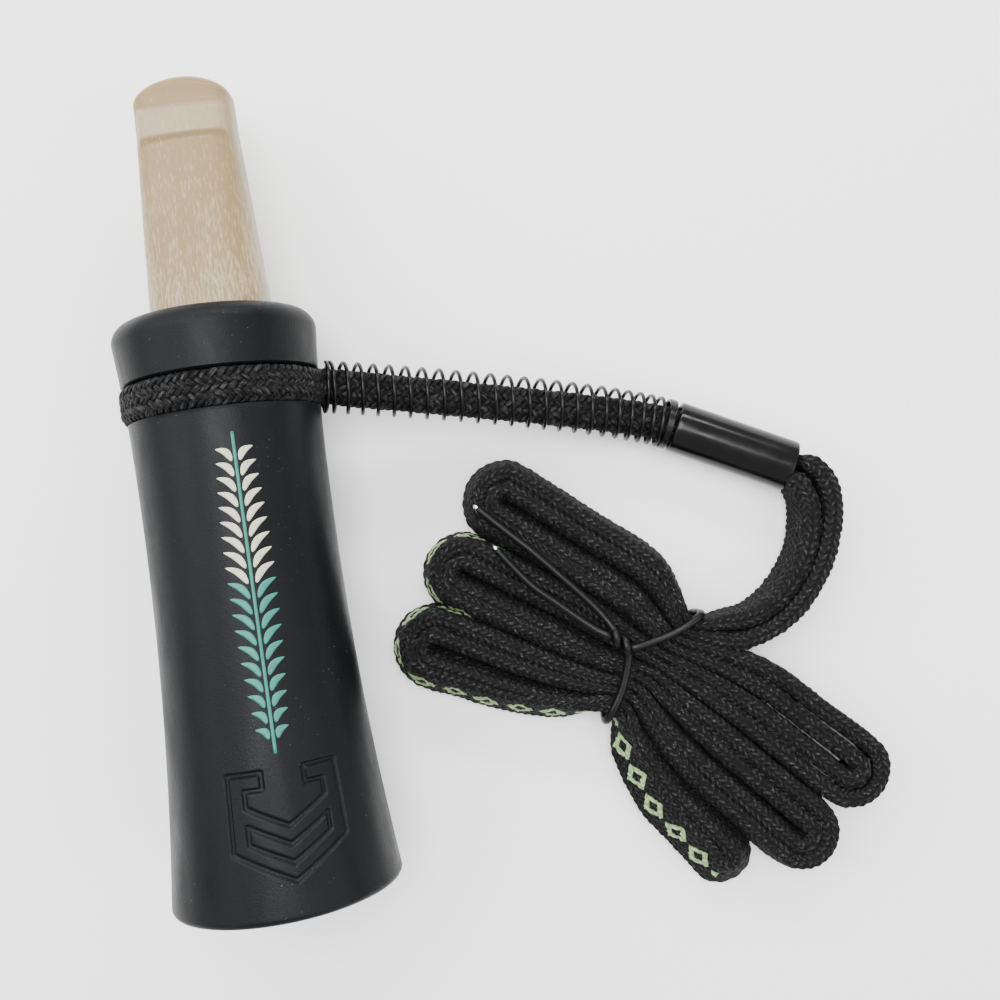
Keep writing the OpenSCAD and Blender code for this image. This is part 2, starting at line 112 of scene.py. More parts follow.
WAIST_CURVE_R = (WAIST_AT ** 2 + (BELL_R - WAIST_R) ** 2) / (2 * (BELL_R - WAIST_R))
COLLAR_TURN = math.asin((COLLAR_S - WAIST_S) / WAIST_CURVE_R)
COLLAR_CENTRE_S = COLLAR_S - COLLAR_CURVE_R * math.sin(COLLAR_TURN)
COLLAR_CENTRE_R = (
    WAIST_R + WAIST_CURVE_R * (1 - math.cos(COLLAR_TURN)) + COLLAR_CURVE_R * math.cos(COLLAR_TURN)
)


def barrel_radius(station):
    """Radius of the barrel's outer curve, without its groove and end roundings."""
    if station < COLLAR_S:
        return WAIST_R + WAIST_CURVE_R - math.sqrt(WAIST_CURVE_R ** 2 - (station - WAIST_S) ** 2)
    return COLLAR_CENTRE_R - math.sqrt(COLLAR_CURVE_R ** 2 - (station - COLLAR_CENTRE_S) ** 2)


BELL_EDGE_R = barrel_radius(BELL_S + BELL_ROUND)
RIM_EDGE_R = barrel_radius(RIM_S - RIM_ROUND)
TILT = math.atan((BELL_EDGE_R - RIM_EDGE_R) / (BARREL_LENGTH - BELL_ROUND - RIM_ROUND))
AXIS_HEIGHT = (
    BELL_ROUND + (BELL_S + BELL_ROUND) * math.sin(TILT) + (BELL_EDGE_R - BELL_ROUND) * math.cos(TILT)
)
CALL_DIR = np.array([0, math.cos(TILT), -math.sin(TILT)])
CALL_UP = np.array([0, math.sin(TILT), math.cos(TILT)])
CALL_SIDE = np.array([1.0, 0, 0])


def on_call(across, up, station):
    """Places given from the call's axis: across it, above it, and along it from mid-length."""
    across, up, station = (np.asarray(v, float)[..., None] for v in (across, up, station))
    return np.array([0, 0, AXIS_HEIGHT]) + across * CALL_SIDE + up * CALL_UP + station * CALL_DIR


def heading(degrees):
    """A level direction, and the level direction to its left."""
    angle = math.radians(degrees)
    return (
        np.array([math.cos(angle), math.sin(angle), 0]), np.array([-math.sin(angle), math.cos(angle), 0])
    )


# The cord's loop lies in the groove's plane and leaves it a little below the horizontal.
EXIT_ANGLE = math.radians(6)
LOOP_CENTRE = on_call(0, 0, GROOVE_S)
LOOP_R = GROOVE_R + 0.0002 + CORD_T / 2
LOOP_OUT = math.cos(EXIT_ANGLE) * CALL_SIDE - math.sin(EXIT_ANGLE) * CALL_UP
LOOP_UP = np.cross(LOOP_OUT, CALL_DIR)
LOOP_OPEN_ANGLE = math.radians(22)
LEG_LIFT = CORD_T / 2 + 0.00005
SPRING_FROM_AXIS = 0.0148
SPRING_START = LOOP_CENTRE + SPRING_FROM_AXIS * LOOP_OUT

FERRULE_DIR, FERRULE_SIDE = heading(-27)
FERRULE_START = np.array([0.0670, -0.0003, FERRULE_R + 0.00005])

SPRING_DIP = np.array([0, 0, -0.3])
SPRING_AXIS = np.array([
    SPRING_START,
    SPRING_START + 0.015 * (heading(-9.5)[0] + SPRING_DIP),
    FERRULE_START - 0.009 * FERRULE_DIR + np.array([0, 0, 0.0003]),
    FERRULE_START - 0.00045 * FERRULE_DIR,
])

# The hank's own axes: along its runs, and across them towards the lead.
HANK_CENTRE = np.array([0.0582, -0.0369, 0])
HANK_DIR, HANK_SIDE = heading(-49.7)


def on_hank(along, across, height):
    return HANK_CENTRE + along * HANK_DIR + across * HANK_SIDE + np.array([0, 0, height])


# Route of the pair of webbing runs from the ferrule's mouth to the tie, at one height.
WEBBING_MIDDLE = 0.0041
LEAD_ROUTE = np.array([
    [*place, WEBBING_MIDDLE] for place in (
        [0.0852, -0.0102], [0.0864, -0.0126], [0.0869, -0.0160], [0.0861, -0.0205], [0.0842, -0.0248],
        [0.0812, -0.0286], [0.0776, -0.0314], [0.0740, -0.0328], [0.0710, -0.0330],
    )
])

# ---- curves and meshes ----


def unit(v):
    return v / np.linalg.norm(v, axis=-1, keepdims=True)


def smooth_step(value, low, high):
    t = np.clip((value - low) / (high - low), 0, 1)
    return t * t * (3 - 2 * t)


def bezier(t):
    """Places on the spring's axis, from the barrel (0) to the ferrule (1)."""
    t = np.asarray(t, float)[..., None]
    a, b, c, d = SPRING_AXIS
    return (1 - t) ** 3 * a + 3 * t * (1 - t) ** 2 * b + 3 * t * t * (1 - t) * c + t ** 3 * d


def bezier_dir(t):
    t = np.asarray(t, float)[..., None]
    a, b, c, d = SPRING_AXIS
    return unit((1 - t) ** 2 * (b - a) + 2 * t * (1 - t) * (c - b) + t * t * (d - c))


def through(rows, step):
    """A smooth curve through the rows, whose first three numbers are a place, at an even step."""
    p = np.asarray(rows, float)
    p = np.vstack([2 * p[0] - p[1], p, 2 * p[-1] - p[-2]])
    t = np.linspace(0, 1, 16, endpoint=False)[:, None]
    pieces = []
    for a, b, c, d in zip(p[:-3], p[1:-2], p[2:-1], p[3:]):
        pieces.append(0.5 * (
            2 * b + (c - a) * t + (2 * a - 5 * b + 4 * c - d) * t ** 2 + (3 * b - a - 3 * c + d) * t ** 3
        ))
    dense = np.vstack([*pieces, p[-2:-1]])
    return evenly(dense, step)


def evenly(rows, step):
    gone = gone_along(rows)
    at = np.linspace(0, gone[-1], max(2, round(gone[-1] / step) + 1))
    return np.stack([np.interp(at, gone, column) for column in rows.T], axis=1)


def gone_along(line):
    """How far each point is along the line from its start."""
    steps = np.linalg.norm(np.diff(line[:, :3], axis=0), axis=1)
    return np.concatenate([[0], np.cumsum(steps)])


def directions(line):
    return unit(np.gradient(line[:, :3], axis=0))


def carried(line, first):
    """A side vector at each place on the line, carried along it without twisting."""
    dirs = directions(line)
    sides = [np.asarray(first, float)]
    for d in dirs:
        sides.append(unit(sides[-1] - (sides[-1] @ d) * d))
    return np.array(sides[1:])


def angles_round(count):
    return np.arange(count) / count * 2 * math.pi


def add_mesh(name, points, faces, material):
    """A shaded mesh object with its faces turned outwards."""
    mesh = bpy.data.meshes.new(name)
    mesh.from_pydata(np.asarray(points).reshape(-1, 3).tolist(), [], faces)
    tidy = bmesh.new()
    tidy.from_mesh(mesh)
    bmesh.ops.recalc_face_normals(tidy, faces=tidy.faces)
    tidy.to_mesh(mesh)
    tidy.free()
    mesh.shade_smooth()
    mesh.materials.append(material)
    piece = bpy.data.objects.new(name, mesh)
    bpy.context.scene.collection.objects.link(piece)
    return piece


def skin_faces(rings, sides, looped=False, start=0):
    """Faces between rings of points; both ends are closed unless the last ring joins the first."""
    i = np.arange(rings if looped else rings - 1)[:, None]
    j = np.arange(sides)[None, :]
    here, there = start + i * sides, start + (i + 1) % rings * sides
    k = (j + 1) % sides
    quads = np.stack([here + j, here + k, there + k, there + j], axis=-1).reshape(-1, 4).tolist()
    if looped:
        return quads
    last = start + (rings - 1) * sides
    return quads + [list(range(start, start + sides)), list(range(last, last + sides))]


def set_number(piece, name, values):
    layer = piece.data.attributes.new(name, "FLOAT", "POINT")
    layer.data.foreach_set("value", np.asarray(values, np.float32).ravel())


def set_place(piece, name, values):
    layer = piece.data.attributes.new(name, "FLOAT_VECTOR", "POINT")
    layer.data.foreach_set("vector", np.asarray(values, np.float32).ravel())


def round_section(width, height, corner, count):
    """An even walk round a rectangle with rounded corners, from the middle of its top side."""
    turns = np.linspace(0, math.pi / 2, 9)
    places, outward = [np.array([[0, height / 2]])], [np.array([[0, 1.0]])]
    for quarter, (sx, sy) in enumerate([(-1, 1), (-1, -1), (1, -1), (1, 1)]):
        angle = turns + (quarter + 1) * math.pi / 2
        way = np.stack([np.cos(angle), np.sin(angle)], axis=1)
        centre = np.array([sx * (width / 2 - corner), sy * (height / 2 - corner)])
        places.append(centre + corner * way)
        outward.append(way)
    places, outward = np.vstack([*places, places[0]]), np.vstack([*outward, outward[0]])
    gone = gone_along(places)
    at = np.arange(count) / count * gone[-1]

    def along(table):
        return np.stack([np.interp(at, gone, column) for column in table.T], axis=1)

    return along(places), unit(along(outward))


def tube(name, line, radius, sides, material):
    """A round wire along the line, whose ends are rounded over."""
    side = carried(line, (0, 0, 1))
    up = np.cross(directions(line), side)
    gone = gone_along(line)
    from_end = np.minimum(gone, gone[-1] - gone) / radius
    size = radius * np.sqrt(np.clip(1 - (1 - np.clip(from_end + 0.15, 0, 1)) ** 2, 0, 1))
    angle = angles_round(sides)
    rings = line[:, None] + size[:, None, None] * (
        np.cos(angle)[None, :, None] * side[:, None] + np.sin(angle)[None, :, None] * up[:, None]
    )
    return add_mesh(name, rings, skin_faces(len(line), sides), material)


# ---- materials ----


def new_material(name, **surface):
    """A material with one Principled surface, its numbers set by input name."""
    made = bpy.data.materials.new(name)
    made.use_nodes = True
    principled = made.node_tree.nodes["Principled BSDF"]
    for label, value in surface.items():
        principled.inputs[label.replace("_", " ")].default_value = value
    return made, made.node_tree, principled


def feed(surface, **sockets):
    """Links the surface's inputs to sockets, by input name."""
    for label, socket in sockets.items():
        surface.id_data.links.new(socket, surface.inputs[label.replace("_", " ")])


def node(tree, kind, links=(), **settings):
    """A shader node; links are (input, socket or value) pairs and settings its properties."""
    made = tree.nodes.new(kind)
    for label, value in settings.items():
        setattr(made, label, value)
    for label, value in links:
        if isinstance(value, bpy.types.NodeSocket):
            tree.links.new(value, made.inputs[label])
        else:
            made.inputs[label].default_value = value
    return made


def attribute(tree, name, output="Fac"):
    return node(tree, "ShaderNodeAttribute", attribute_name=name).outputs[output]


def stretched(tree, place, scale):
    return node(tree, "ShaderNodeMapping", [("Vector", place), ("Scale", scale)]).outputs["Vector"]


def noise(tree, place, scale, detail, roughness=0.5):
    links = [("Vector", place), ("Scale", scale), ("Detail", detail), ("Roughness", roughness)]
    return node(tree, "ShaderNodeTexNoise", links).outputs["Fac"]


def spread_out(tree, value, low, high, out_low=0.0, out_high=1.0):
    """The value moved from one range to another and kept within it."""
    links = [
        ("Value", value), ("From Min", low), ("From Max", high),
        ("To Min", out_low), ("To Max", out_high),
    ]
    return node(tree, "ShaderNodeMapRange", links, clamp=True).outputs["Result"]


def reckon(tree, operation, a, b):
    return node(tree, "ShaderNodeMath", [(0, a), (1, b)], operation=operation).outputs["Value"]


def mixed(tree, share, a, b):
    """Colour a turning into colour b as share goes from 0 to 1."""
    made = node(tree, "ShaderNodeMix", data_type="RGBA")
    for index, value in ((0, share), (6, a), (7, b)):
        if isinstance(value, bpy.types.NodeSocket):
            tree.links.new(value, made.inputs[index])
        else:
            made.inputs[index].default_value = value
    return made.outputs[2]


def bump(tree, height, distance, strength):
    links = [("Height", height), ("Distance", distance), ("Strength", strength)]
    return node(tree, "ShaderNodeBump", links).outputs["Normal"]


def object_place(tree):
    return node(tree, "ShaderNodeTexCoord").outputs["Object"]


def rubber():
    """Satin black moulded rubber, with a fine grain, faint handling marks and specks of dust."""
    made, tree, surface = new_material("barrel_rubber", Specular_IOR_Level=0.12)
    place = object_place(tree)
    grain = noise(tree, place, 3500, 2)
    marks = noise(tree, stretched(tree, place, (1, 0.4, 1)), 150, 6, 0.68)
    dust = spread_out(tree, noise(tree, place, 3200, 1), 0.76, 0.79)
    patch = spread_out(tree, noise(tree, place, 90, 2), 0.45, 0.6)
    dust = reckon(tree, "MULTIPLY", dust, patch)
    dark = mixed(tree, marks, (0.0016, 0.002, 0.0025, 1), (0.004, 0.0046, 0.0052, 1))
    colour = mixed(tree, dust, dark, (0.09, 0.09, 0.088, 1))
    feed(surface, Base_Color=colour)
    feed(surface, Roughness=spread_out(tree, marks, 0.35, 0.65, 0.33, 0.52))
    feed(surface, Normal=bump(tree, grain, 0.00006, 0.5))
    return made


def pearl_plastic():
    """Glossy tan plastic with pale pearl streaks along it, closer together near the barrel, and a painted
    highlight: a paler tan on the bite ridge's plateau.
    """
    made, tree, surface = new_material(
        "mouthpiece_plastic", Specular_IOR_Level=0.3, Coat_Weight=0.12, Coat_Roughness=0.2,
        Subsurface_Weight=0.08, Subsurface_Scale=0.001, Subsurface_Radius=(1.0, 0.7, 0.45),
    )
    place = attribute(tree, "place", "Vector")
    streaks = noise(tree, stretched(tree, place, (1, 1, 0.17)), 3600, 3, 0.6)
    broad = noise(tree, stretched(tree, place, (1, 1, 0.3)), 330, 2)
    toward_base = attribute(tree, "base")
    level = reckon(tree, "ADD", reckon(tree, "MULTIPLY", toward_base, 0.2), streaks)
    level = reckon(tree, "ADD", level, reckon(tree, "MULTIPLY", broad, 0.2))
    pearl = spread_out(tree, level, 0.72, 1.05)
    tan = mixed(tree, broad, (0.190, 0.128, 0.054, 1), (0.225, 0.158, 0.073, 1))
    # Painted highlight: the ridge's plateau in a paler tan, as where light falls on it.
    ridge_highlight_tan = mixed(tree, streaks, (0.235, 0.18, 0.10, 1), (0.34, 0.28, 0.18, 1))
    tan = mixed(tree, attribute(tree, "painted_ridge_highlight"), tan, ridge_highlight_tan)
    colour = mixed(tree, pearl, tan, (0.40, 0.335, 0.225, 1))
    feed(surface, Base_Color=colour)
    feed(surface, Roughness=spread_out(tree, pearl, 0, 1, 0.4, 0.28))
    feed(surface, Normal=bump(tree, streaks, 0.00006, 0.35))
    return made


def yarn(name, dark_colour, painted_glint_colour, gloss, fibre_stretch):
    """Black filament yarn with fibres along it. Small glints are painted into its colour as painted
    highlights, only on the raised parts of the stitches, so the hollows between them keep the dark colour
    as painted shade.
    """
    made, tree, surface = new_material(
        name, Specular_IOR_Level=gloss, Sheen_Weight=0.015, Sheen_Roughness=0.5,
    )
    place = attribute(tree, "place", "Vector")
    height = attribute(tree, "relief")
    fibres = noise(tree, stretched(tree, place, (1, 1, fibre_stretch)), 6500, 2, 0.65)
    clumps = noise(tree, place, 1500, 2, 0.6)
    shine = spread_out(tree, fibres, 0.46, 0.68)
    glint = reckon(tree, "MULTIPLY", shine, spread_out(tree, clumps, 0.38, 0.6))
    # Painted highlights: the pale glint colour where fibre and clump noise meet, only on the raised relief;
    # the hollows stay dark as painted shade.
    painted_glints = reckon(tree, "MULTIPLY", spread_out(tree, height, 0.3, 0.95), glint)
    colour = mixed(tree, painted_glints, dark_colour, painted_glint_colour)
    feed(surface, Base_Color=colour)
    feed(surface, Roughness=spread_out(tree, fibres, 0.3, 0.7, 0.5, 0.75))
    feed(surface, Normal=bump(tree, fibres, 0.00015, 0.6))
    return made, tree, surface, colour


def webbing_yarn():
    """The yarn again, with a pale green woven pattern where the attribute says so. The green is darker in
    the stitch grooves and paler on the raised stitches, as painted shade and painted light.
    """
    # The second colour is the painted highlight colour of the glints.
    made, tree, surface, colour = yarn(
        "webbing_weave", (0.0013, 0.0013, 0.0015, 1), (0.105, 0.107, 0.11, 1), 0.11, 0.6,
    )
    # The pattern's green follows the relief: painted shade in the grooves, painted light on the raised
    # stitches.
    green = mixed(tree, attribute(tree, "relief"), (0.09, 0.2, 0.06, 1), (0.42, 0.52, 0.3, 1))
    pattern = spread_out(tree, attribute(tree, "pattern"), 0.42, 0.58)
    feed(surface, Base_Color=mixed(tree, pattern, colour, green))
    return made


def printed_ink(name, colour):
    made, tree, surface = new_material(name, Roughness=0.42, Specular_IOR_Level=0.4)
    wear = spread_out(tree, noise(tree, object_place(tree), 900, 3, 0.7), 0.3, 0.5, 0.55, 1.0)
    shade = mixed(tree, wear, tuple(0.45 * c for c in colour[:3]) + (1,), colour)
    feed(surface, Base_Color=shade)
    return made


def coated(name, colour, roughness, marks=0.06, grain=400, depth=0.00003, gloss=0.5):
    """A coated or moulded surface with slightly uneven gloss."""
    made, tree, surface = new_material(name, Base_Color=colour, Specular_IOR_Level=gloss)
    unevenness = noise(tree, object_place(tree), grain, 4, 0.6)
    low, high = roughness - marks, roughness + marks
    feed(surface, Roughness=spread_out(tree, unevenness, 0.3, 0.7, low, high))
    feed(surface, Normal=bump(tree, unevenness, depth, 0.3))
    return made


def bare_metal(name, colour, roughness):
    made, tree, surface = new_material(name, Base_Color=colour, Metallic=1.0)
    scratches = noise(tree, stretched(tree, object_place(tree), (1, 1, 0.2)), 2500, 3, 0.6)
    low, high = roughness - 0.1, roughness + 0.1
    feed(surface, Roughness=spread_out(tree, scratches, 0.3, 0.7, low, high))
    return made


def cork():
    made, tree, surface = new_material("wedge_cork", Roughness=0.8)
    place = object_place(tree)
    cells = node(tree, "ShaderNodeTexVoronoi", [("Vector", place), ("Scale", 1400.0)]).outputs["Distance"]
    pits = spread_out(tree, noise(tree, place, 900, 3), 0.62, 0.72)
    warm = mixed(tree, cells, (0.5, 0.31, 0.16, 1), (0.36, 0.21, 0.1, 1))
    feed(surface, Base_Color=mixed(tree, pits, warm, (0.12, 0.06, 0.03, 1)))
    feed(surface, Normal=bump(tree, cells, 0.0002, 0.6))
    return made


# ---- the barrel ----

# The moulded badge: a plain shield with chevrons, as lines [across, along] on its right half.
BADGE_S = -0.0468
BADGE_TURN = math.radians(17)
BADGE_LINES = [
    [[0.0030, 0.0068], [0.0078, 0.0068], [0.0078, -0.0034], [0, -0.0078]],
    [[0.0030, 0.0068], [0.0030, 0.0046], [0.0055, 0.0046], [0.0055, 0.0024], [0, -0.0006]],
    [[0.0055, 0.0000], [0.0055, -0.0024], [0, -0.0054]],
    [[0.0055, 0.0000], [0, -0.0030]],
]
BADGE_LINE_W = 0.0006
BADGE_DEPTH = 0.00035
EDGE_BREAK = 0.0003
SHELF_BREAK = 0.0002
GROOVE_CORNER = 0.00008
GROOVE_FILLET = 0.0004


def line_distance(across, along, start, end):
    start, end = np.array(start), np.array(end)
    run = end - start
    off = np.stack([across, along], axis=-1) - start
    share = np.clip((off @ run) / (run @ run), 0, 1)
    return np.linalg.norm(off - share[..., None] * run, axis=-1)


def badge_depth(across, along):
    """How far the badge's lines are pressed into the barrel."""
    nearest = np.full(np.shape(across), 1.0)
    for line in BADGE_LINES:
        for start, end in zip(line, line[1:]):
            nearest = np.minimum(nearest, line_distance(np.abs(across), along, start, end))
    return BADGE_DEPTH * (1 - smooth_step(nearest, BADGE_LINE_W * 0.25, BADGE_LINE_W * 0.75))


def arc(centre_s, centre_r, radius, start, end, count):
    """Profile points [station, radius] round a centre, at angles from the station axis."""
    angle = np.radians(np.linspace(start, end, count))
    return [[centre_s + radius * math.cos(a), centre_r + radius * math.sin(a)] for a in angle]


def barrel_profile():
    """The barrel's outline as [station, radius], round the outside and back through the inside."""
    fine = np.arange(BADGE_S - 0.0095, BADGE_S + 0.0085, 0.00016)
    lower = np.linspace(BELL_S + BELL_ROUND, fine[0], 8, endpoint=False)
    upper = np.linspace(fine[-1], GROOVE_S - GROOVE_W / 2 - EDGE_BREAK, 90)[1:]
    outside = [[s, barrel_radius(s)] for s in [*lower, *fine, *upper]]
    collar = np.linspace(GROOVE_S + GROOVE_W / 2 + EDGE_BREAK, RIM_S - RIM_ROUND - 0.0001, 20)
    edge_r = barrel_radius(GROOVE_S)
    fillet_r = GROOVE_R + GROOVE_FILLET
    lower_half = [
        [-GROOVE_W / 2 - GROOVE_CORNER, edge_r - GROOVE_CORNER],
        [-GROOVE_W / 2, edge_r - EDGE_BREAK],
        [-GROOVE_W / 2, fillet_r],
        *arc(-GROOVE_W / 2 + GROOVE_FILLET, fillet_r, GROOVE_FILLET, 200, 270, 4),
    ]
    groove = [
        *[[GROOVE_S + s, r] for s, r in lower_half],
        *[[GROOVE_S - s, r] for s, r in lower_half[::-1]],
    ]
    horn_curve_r = (HORN_LENGTH ** 2 + (HORN_R - BORE_R) ** 2) / (2 * (HORN_R - BORE_R))
    horn = [
        [s, BORE_R + horn_curve_r - math.sqrt(horn_curve_r ** 2 - (BELL_S + HORN_LENGTH - s) ** 2)]
        for s in np.linspace(BELL_S + HORN_LENGTH, BELL_S + EDGE_BREAK, 24)
    ]
    shelf = RIM_S - SOCKET_DEPTH
    inside = [
        [RIM_S, SOCKET_R + EDGE_BREAK],
        [RIM_S - EDGE_BREAK, SOCKET_R],
        [shelf + SHELF_BREAK, SOCKET_R],
        [shelf, SOCKET_R - SHELF_BREAK],
        [shelf, BORE_R + SHELF_BREAK],
        [shelf - SHELF_BREAK, BORE_R],
        *horn,
        [BELL_S, horn[-1][1] + EDGE_BREAK],
    ]
    return np.array([
        *arc(BELL_S + BELL_ROUND, BELL_EDGE_R - BELL_ROUND, BELL_ROUND, 180, 95, 8),
        *outside,
        *groove,
        *[[s, barrel_radius(s)] for s in collar],
        *arc(RIM_S - RIM_ROUND, RIM_EDGE_R - RIM_ROUND, RIM_ROUND, 88, 0, 16),
        *inside,
    ])


def turned(name, profile, angles, material, press=None):
    """A lathe shape about the call's axis; press may push its outside in by angle and station."""
    station, radius = (profile[:, k][:, None] + 0 * angles[None, :] for k in (0, 1))
    if press is not None:
        radius = radius - press(angles[None, :] + 0 * station, station, radius)
    points = on_call(radius * np.sin(angles), radius * np.cos(angles), station)
    return add_mesh(name, points, skin_faces(*station.shape, looped=True), material)


def barrel():
    near_badge = BADGE_TURN + np.radians(np.arange(-34, 34, 0.6))
    elsewhere = np.radians(np.arange(BADGE_TURN * 57.3 + 34, BADGE_TURN * 57.3 + 326, 2))
    # Only the outside wall lies further out than this.
    outer_limit = BORE_R + 0.006

    def press(angle, station, radius):
        across = barrel_radius(BADGE_S) * (angle - BADGE_TURN)
        depth = badge_depth(across, station - BADGE_S)
        return np.where((radius > outer_limit) & (angle < BADGE_TURN + 0.6), depth, 0)

    angles = np.concatenate([near_badge, elsewhere])
    made = turned("barrel_shell", barrel_profile(), angles, rubber(), press)
    set_sharp(made, 40)
    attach(made, "barrel")
    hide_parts("barrel")


def set_sharp(piece, degrees):
    """Edges that turn more than this stay crisp."""
    bpy.context.view_layer.objects.active = piece
    piece.select_set(True)
    bpy.ops.object.shade_smooth_by_angle(angle=math.radians(degrees))
    piece.select_set(False)


# The printed feather: a quill along the barrel with a pair of leaves at each step.
PRINT_TURN = math.radians(15)
PRINT_TOP_S = 0.0060
PRINT_STEP = 0.0021
PRINT_PAIRS = 19
PALE_PAIRS = 9
LEAF_LENGTH = 0.0038
LEAF_W = 0.0010
LEAF_SLANT = math.radians(42)
LEAF_BEND = 0.0005
QUILL_W = 0.00044
QUILL_START = 0.006
INK_T = 0.00004


def inked(name, across, along, material):
    """A thin printed shape on the barrel; the arrays hold its two long edges, row by row."""
    angle = PRINT_TURN + across / barrel_radius(PRINT_TOP_S)
    radius = np.vectorize(barrel_radius)(along)
    top, under = radius + INK_T, radius - INK_T
    angle = np.concatenate([angle, angle[:, ::-1]], axis=1)
    radius = np.concatenate([top, under[:, ::-1]], axis=1)
    along = np.concatenate([along, along[:, ::-1]], axis=1)
    points = on_call(radius * np.sin(angle), radius * np.cos(angle), along)
    made = add_mesh(name, points, skin_faces(*along.shape), material)
    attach(made, "barrel")


def leaf(name, start_s, way, length, width, material):
    """One leaf, slanting from the quill up and out to the side that way says."""
    share = np.linspace(0.02, 0.995, 14)[:, None]
    half = width / 2 * np.sin(math.pi * share ** 0.8) ** 0.7 * np.linspace(-1, 1, 5)[None, :]
    run = length * share + 0 * half
    bent = half + LEAF_BEND * np.sin(math.pi * share)
    across = run * math.cos(LEAF_SLANT) - bent * math.sin(LEAF_SLANT) + 0.0005
    along = start_s + run * math.sin(LEAF_SLANT) + bent * math.cos(LEAF_SLANT)
    inked(name, way * across, along, material)


def print_mark():
    cream = printed_ink("print_cream", (0.46, 0.47, 0.35, 1))
    teal = printed_ink("print_teal", (0.01, 0.15, 0.115, 1))
    for k in range(PRINT_PAIRS):
        ink, letter = (cream, "pale") if k < PALE_PAIRS else (teal, "teal")
        size = 1.0 - 0.35 * abs(k / (PRINT_PAIRS - 1) - 0.45) ** 2 * 4
        for way in (-1, 1):
            side = "left" if way < 0 else "right"
            start_s = PRINT_TOP_S - 0.004 - k * PRINT_STEP
            leaf(f"print_{letter}_{side}_{k + 1}", start_s, way, LEAF_LENGTH * size, LEAF_W, ink)
    quill_length = QUILL_START + (PRINT_PAIRS - 1) * PRINT_STEP
    rows = np.linspace(PRINT_TOP_S, PRINT_TOP_S - quill_length, 60)[:, None]
    across = QUILL_W / 2 * np.linspace(-1, 1, 3)[None, :]
    inked("print_quill", across + 0 * rows, rows + 0 * across, teal)


# ---- the mouthpiece and what it holds ----

RIDGE_START = 0.0104
RIDGE_FOOT = 0.0090
RIDGE_TOP = 0.0060
RIDGE_END = 0.0042
RIDGE_H = 0.0006
BLADE_BASE_W = 0.0178
BLADE_TIP_W = 0.0144
BLADE_BASE_H = 0.0150
BLADE_TIP_H = 0.0096
TIP_ROUND = 0.0026
TIP_CORNER = 0.0020
TIP_ARC_R = 0.0112
AIR_SLOT_W = 0.0094
AIR_SLOT_H = 0.003
AIR_SLOT_CORNER = 0.0012
REED_W = 0.0074
REED_T = 0.00035
REED_START_S = 0.002
REED_END_S = 0.028
REED_LIFT = 0.000225


def superellipse(half_w, half_h, squareness, angle):
    """Places round a rounded rectangle, which is an ellipse when squareness is 2."""
    c, s = np.cos(angle), np.sin(angle)
    power = 2 / squareness
    return half_w * np.sign(c) * np.abs(c) ** power, half_h * np.sign(s) * np.abs(s) ** power


def tip_outline(across):
    """How far the tip's outline lies behind its foremost point, at a distance from the middle."""
    corner_x = BLADE_TIP_W / 2 - TIP_CORNER
    inner_r = TIP_ARC_R - TIP_CORNER
    corner_back = TIP_ARC_R - math.sqrt(inner_r ** 2 - corner_x ** 2)
    arc_back = TIP_ARC_R - np.sqrt(TIP_ARC_R ** 2 - np.minimum(across, BLADE_TIP_W / 2) ** 2)
    off = np.clip(across - corner_x, 0, TIP_CORNER)
    corner = corner_back - np.sqrt(TIP_CORNER ** 2 - off ** 2)
    return np.where(across > corner_x * TIP_ARC_R / inner_r, corner, arc_back)


def blade(material):
    """The blade, its tip arched and rounded over, with a bite ridge above and below."""
    stations = np.concatenate([
        np.arange(BLADE_S, TIP_S - 0.014, 0.0006),
        np.arange(TIP_S - 0.014, TIP_S - TIP_CORNER, 0.00015),
        TIP_S - TIP_CORNER + TIP_CORNER * np.sin(np.linspace(0, math.pi / 2, 20)),
    ])[:, None]
    sides = 160
    angle = angles_round(sides)[None, :]
    share = (stations - BLADE_S) / (TIP_S - 0.008 - BLADE_S)
    half_w = (BLADE_BASE_W + (BLADE_TIP_W - BLADE_BASE_W) * np.minimum(share, 1)) / 2
    half_h = (BLADE_BASE_H + (BLADE_TIP_H - BLADE_BASE_H) * np.minimum(share, 1.07)) / 2
    squareness = 2.5 + 0.9 * np.clip(share, 0, 1)
    over = np.clip((stations - (TIP_S - TIP_CORNER)) / TIP_CORNER, 0, 1)
    rounding = 1 - np.sqrt(1 - over ** 2)
    early = 0.0004 * smooth_step(stations, TIP_S - 0.006, TIP_S - TIP_CORNER)
    half_w = half_w - TIP_CORNER * rounding
    x, y = superellipse(half_w, half_h - early - TIP_ROUND * rounding, squareness, angle)
    sweep = tip_outline(half_w) - (TIP_S - np.maximum(stations, TIP_S - TIP_CORNER))
    sweep = sweep * smooth_step(stations, TIP_S - 0.010, TIP_S - TIP_CORNER)
    stations = stations - sweep * (x / half_w) ** 2
    from_tip = TIP_S - stations
    ridge = smooth_step(from_tip, RIDGE_START, RIDGE_FOOT) * smooth_step(from_tip, RIDGE_END, RIDGE_TOP)
    ridge = ridge * smooth_step(np.abs(x), BLADE_TIP_W / 2 - 0.0004, BLADE_TIP_W / 2 - 0.0014)
    y = y + np.sign(y) * RIDGE_H * ridge * smooth_step(np.abs(y), 0, 0.002)
    points = on_call(x, y, stations)
    last = (x.shape[0] - 1) * sides
    across_end = [
        [last + j, last + j + 1, last + (sides - j - 1) % sides, last + (sides - j) % sides]
        for j in range(1, sides // 2 - 1)
    ]
    far = last + sides // 2
    ends = [[last, last + 1, last + sides - 1], [far - 1, far, far + 1]]
    faces = skin_faces(*x.shape)[:-1] + across_end + ends
    return add_mesh("blade", points, faces, material)


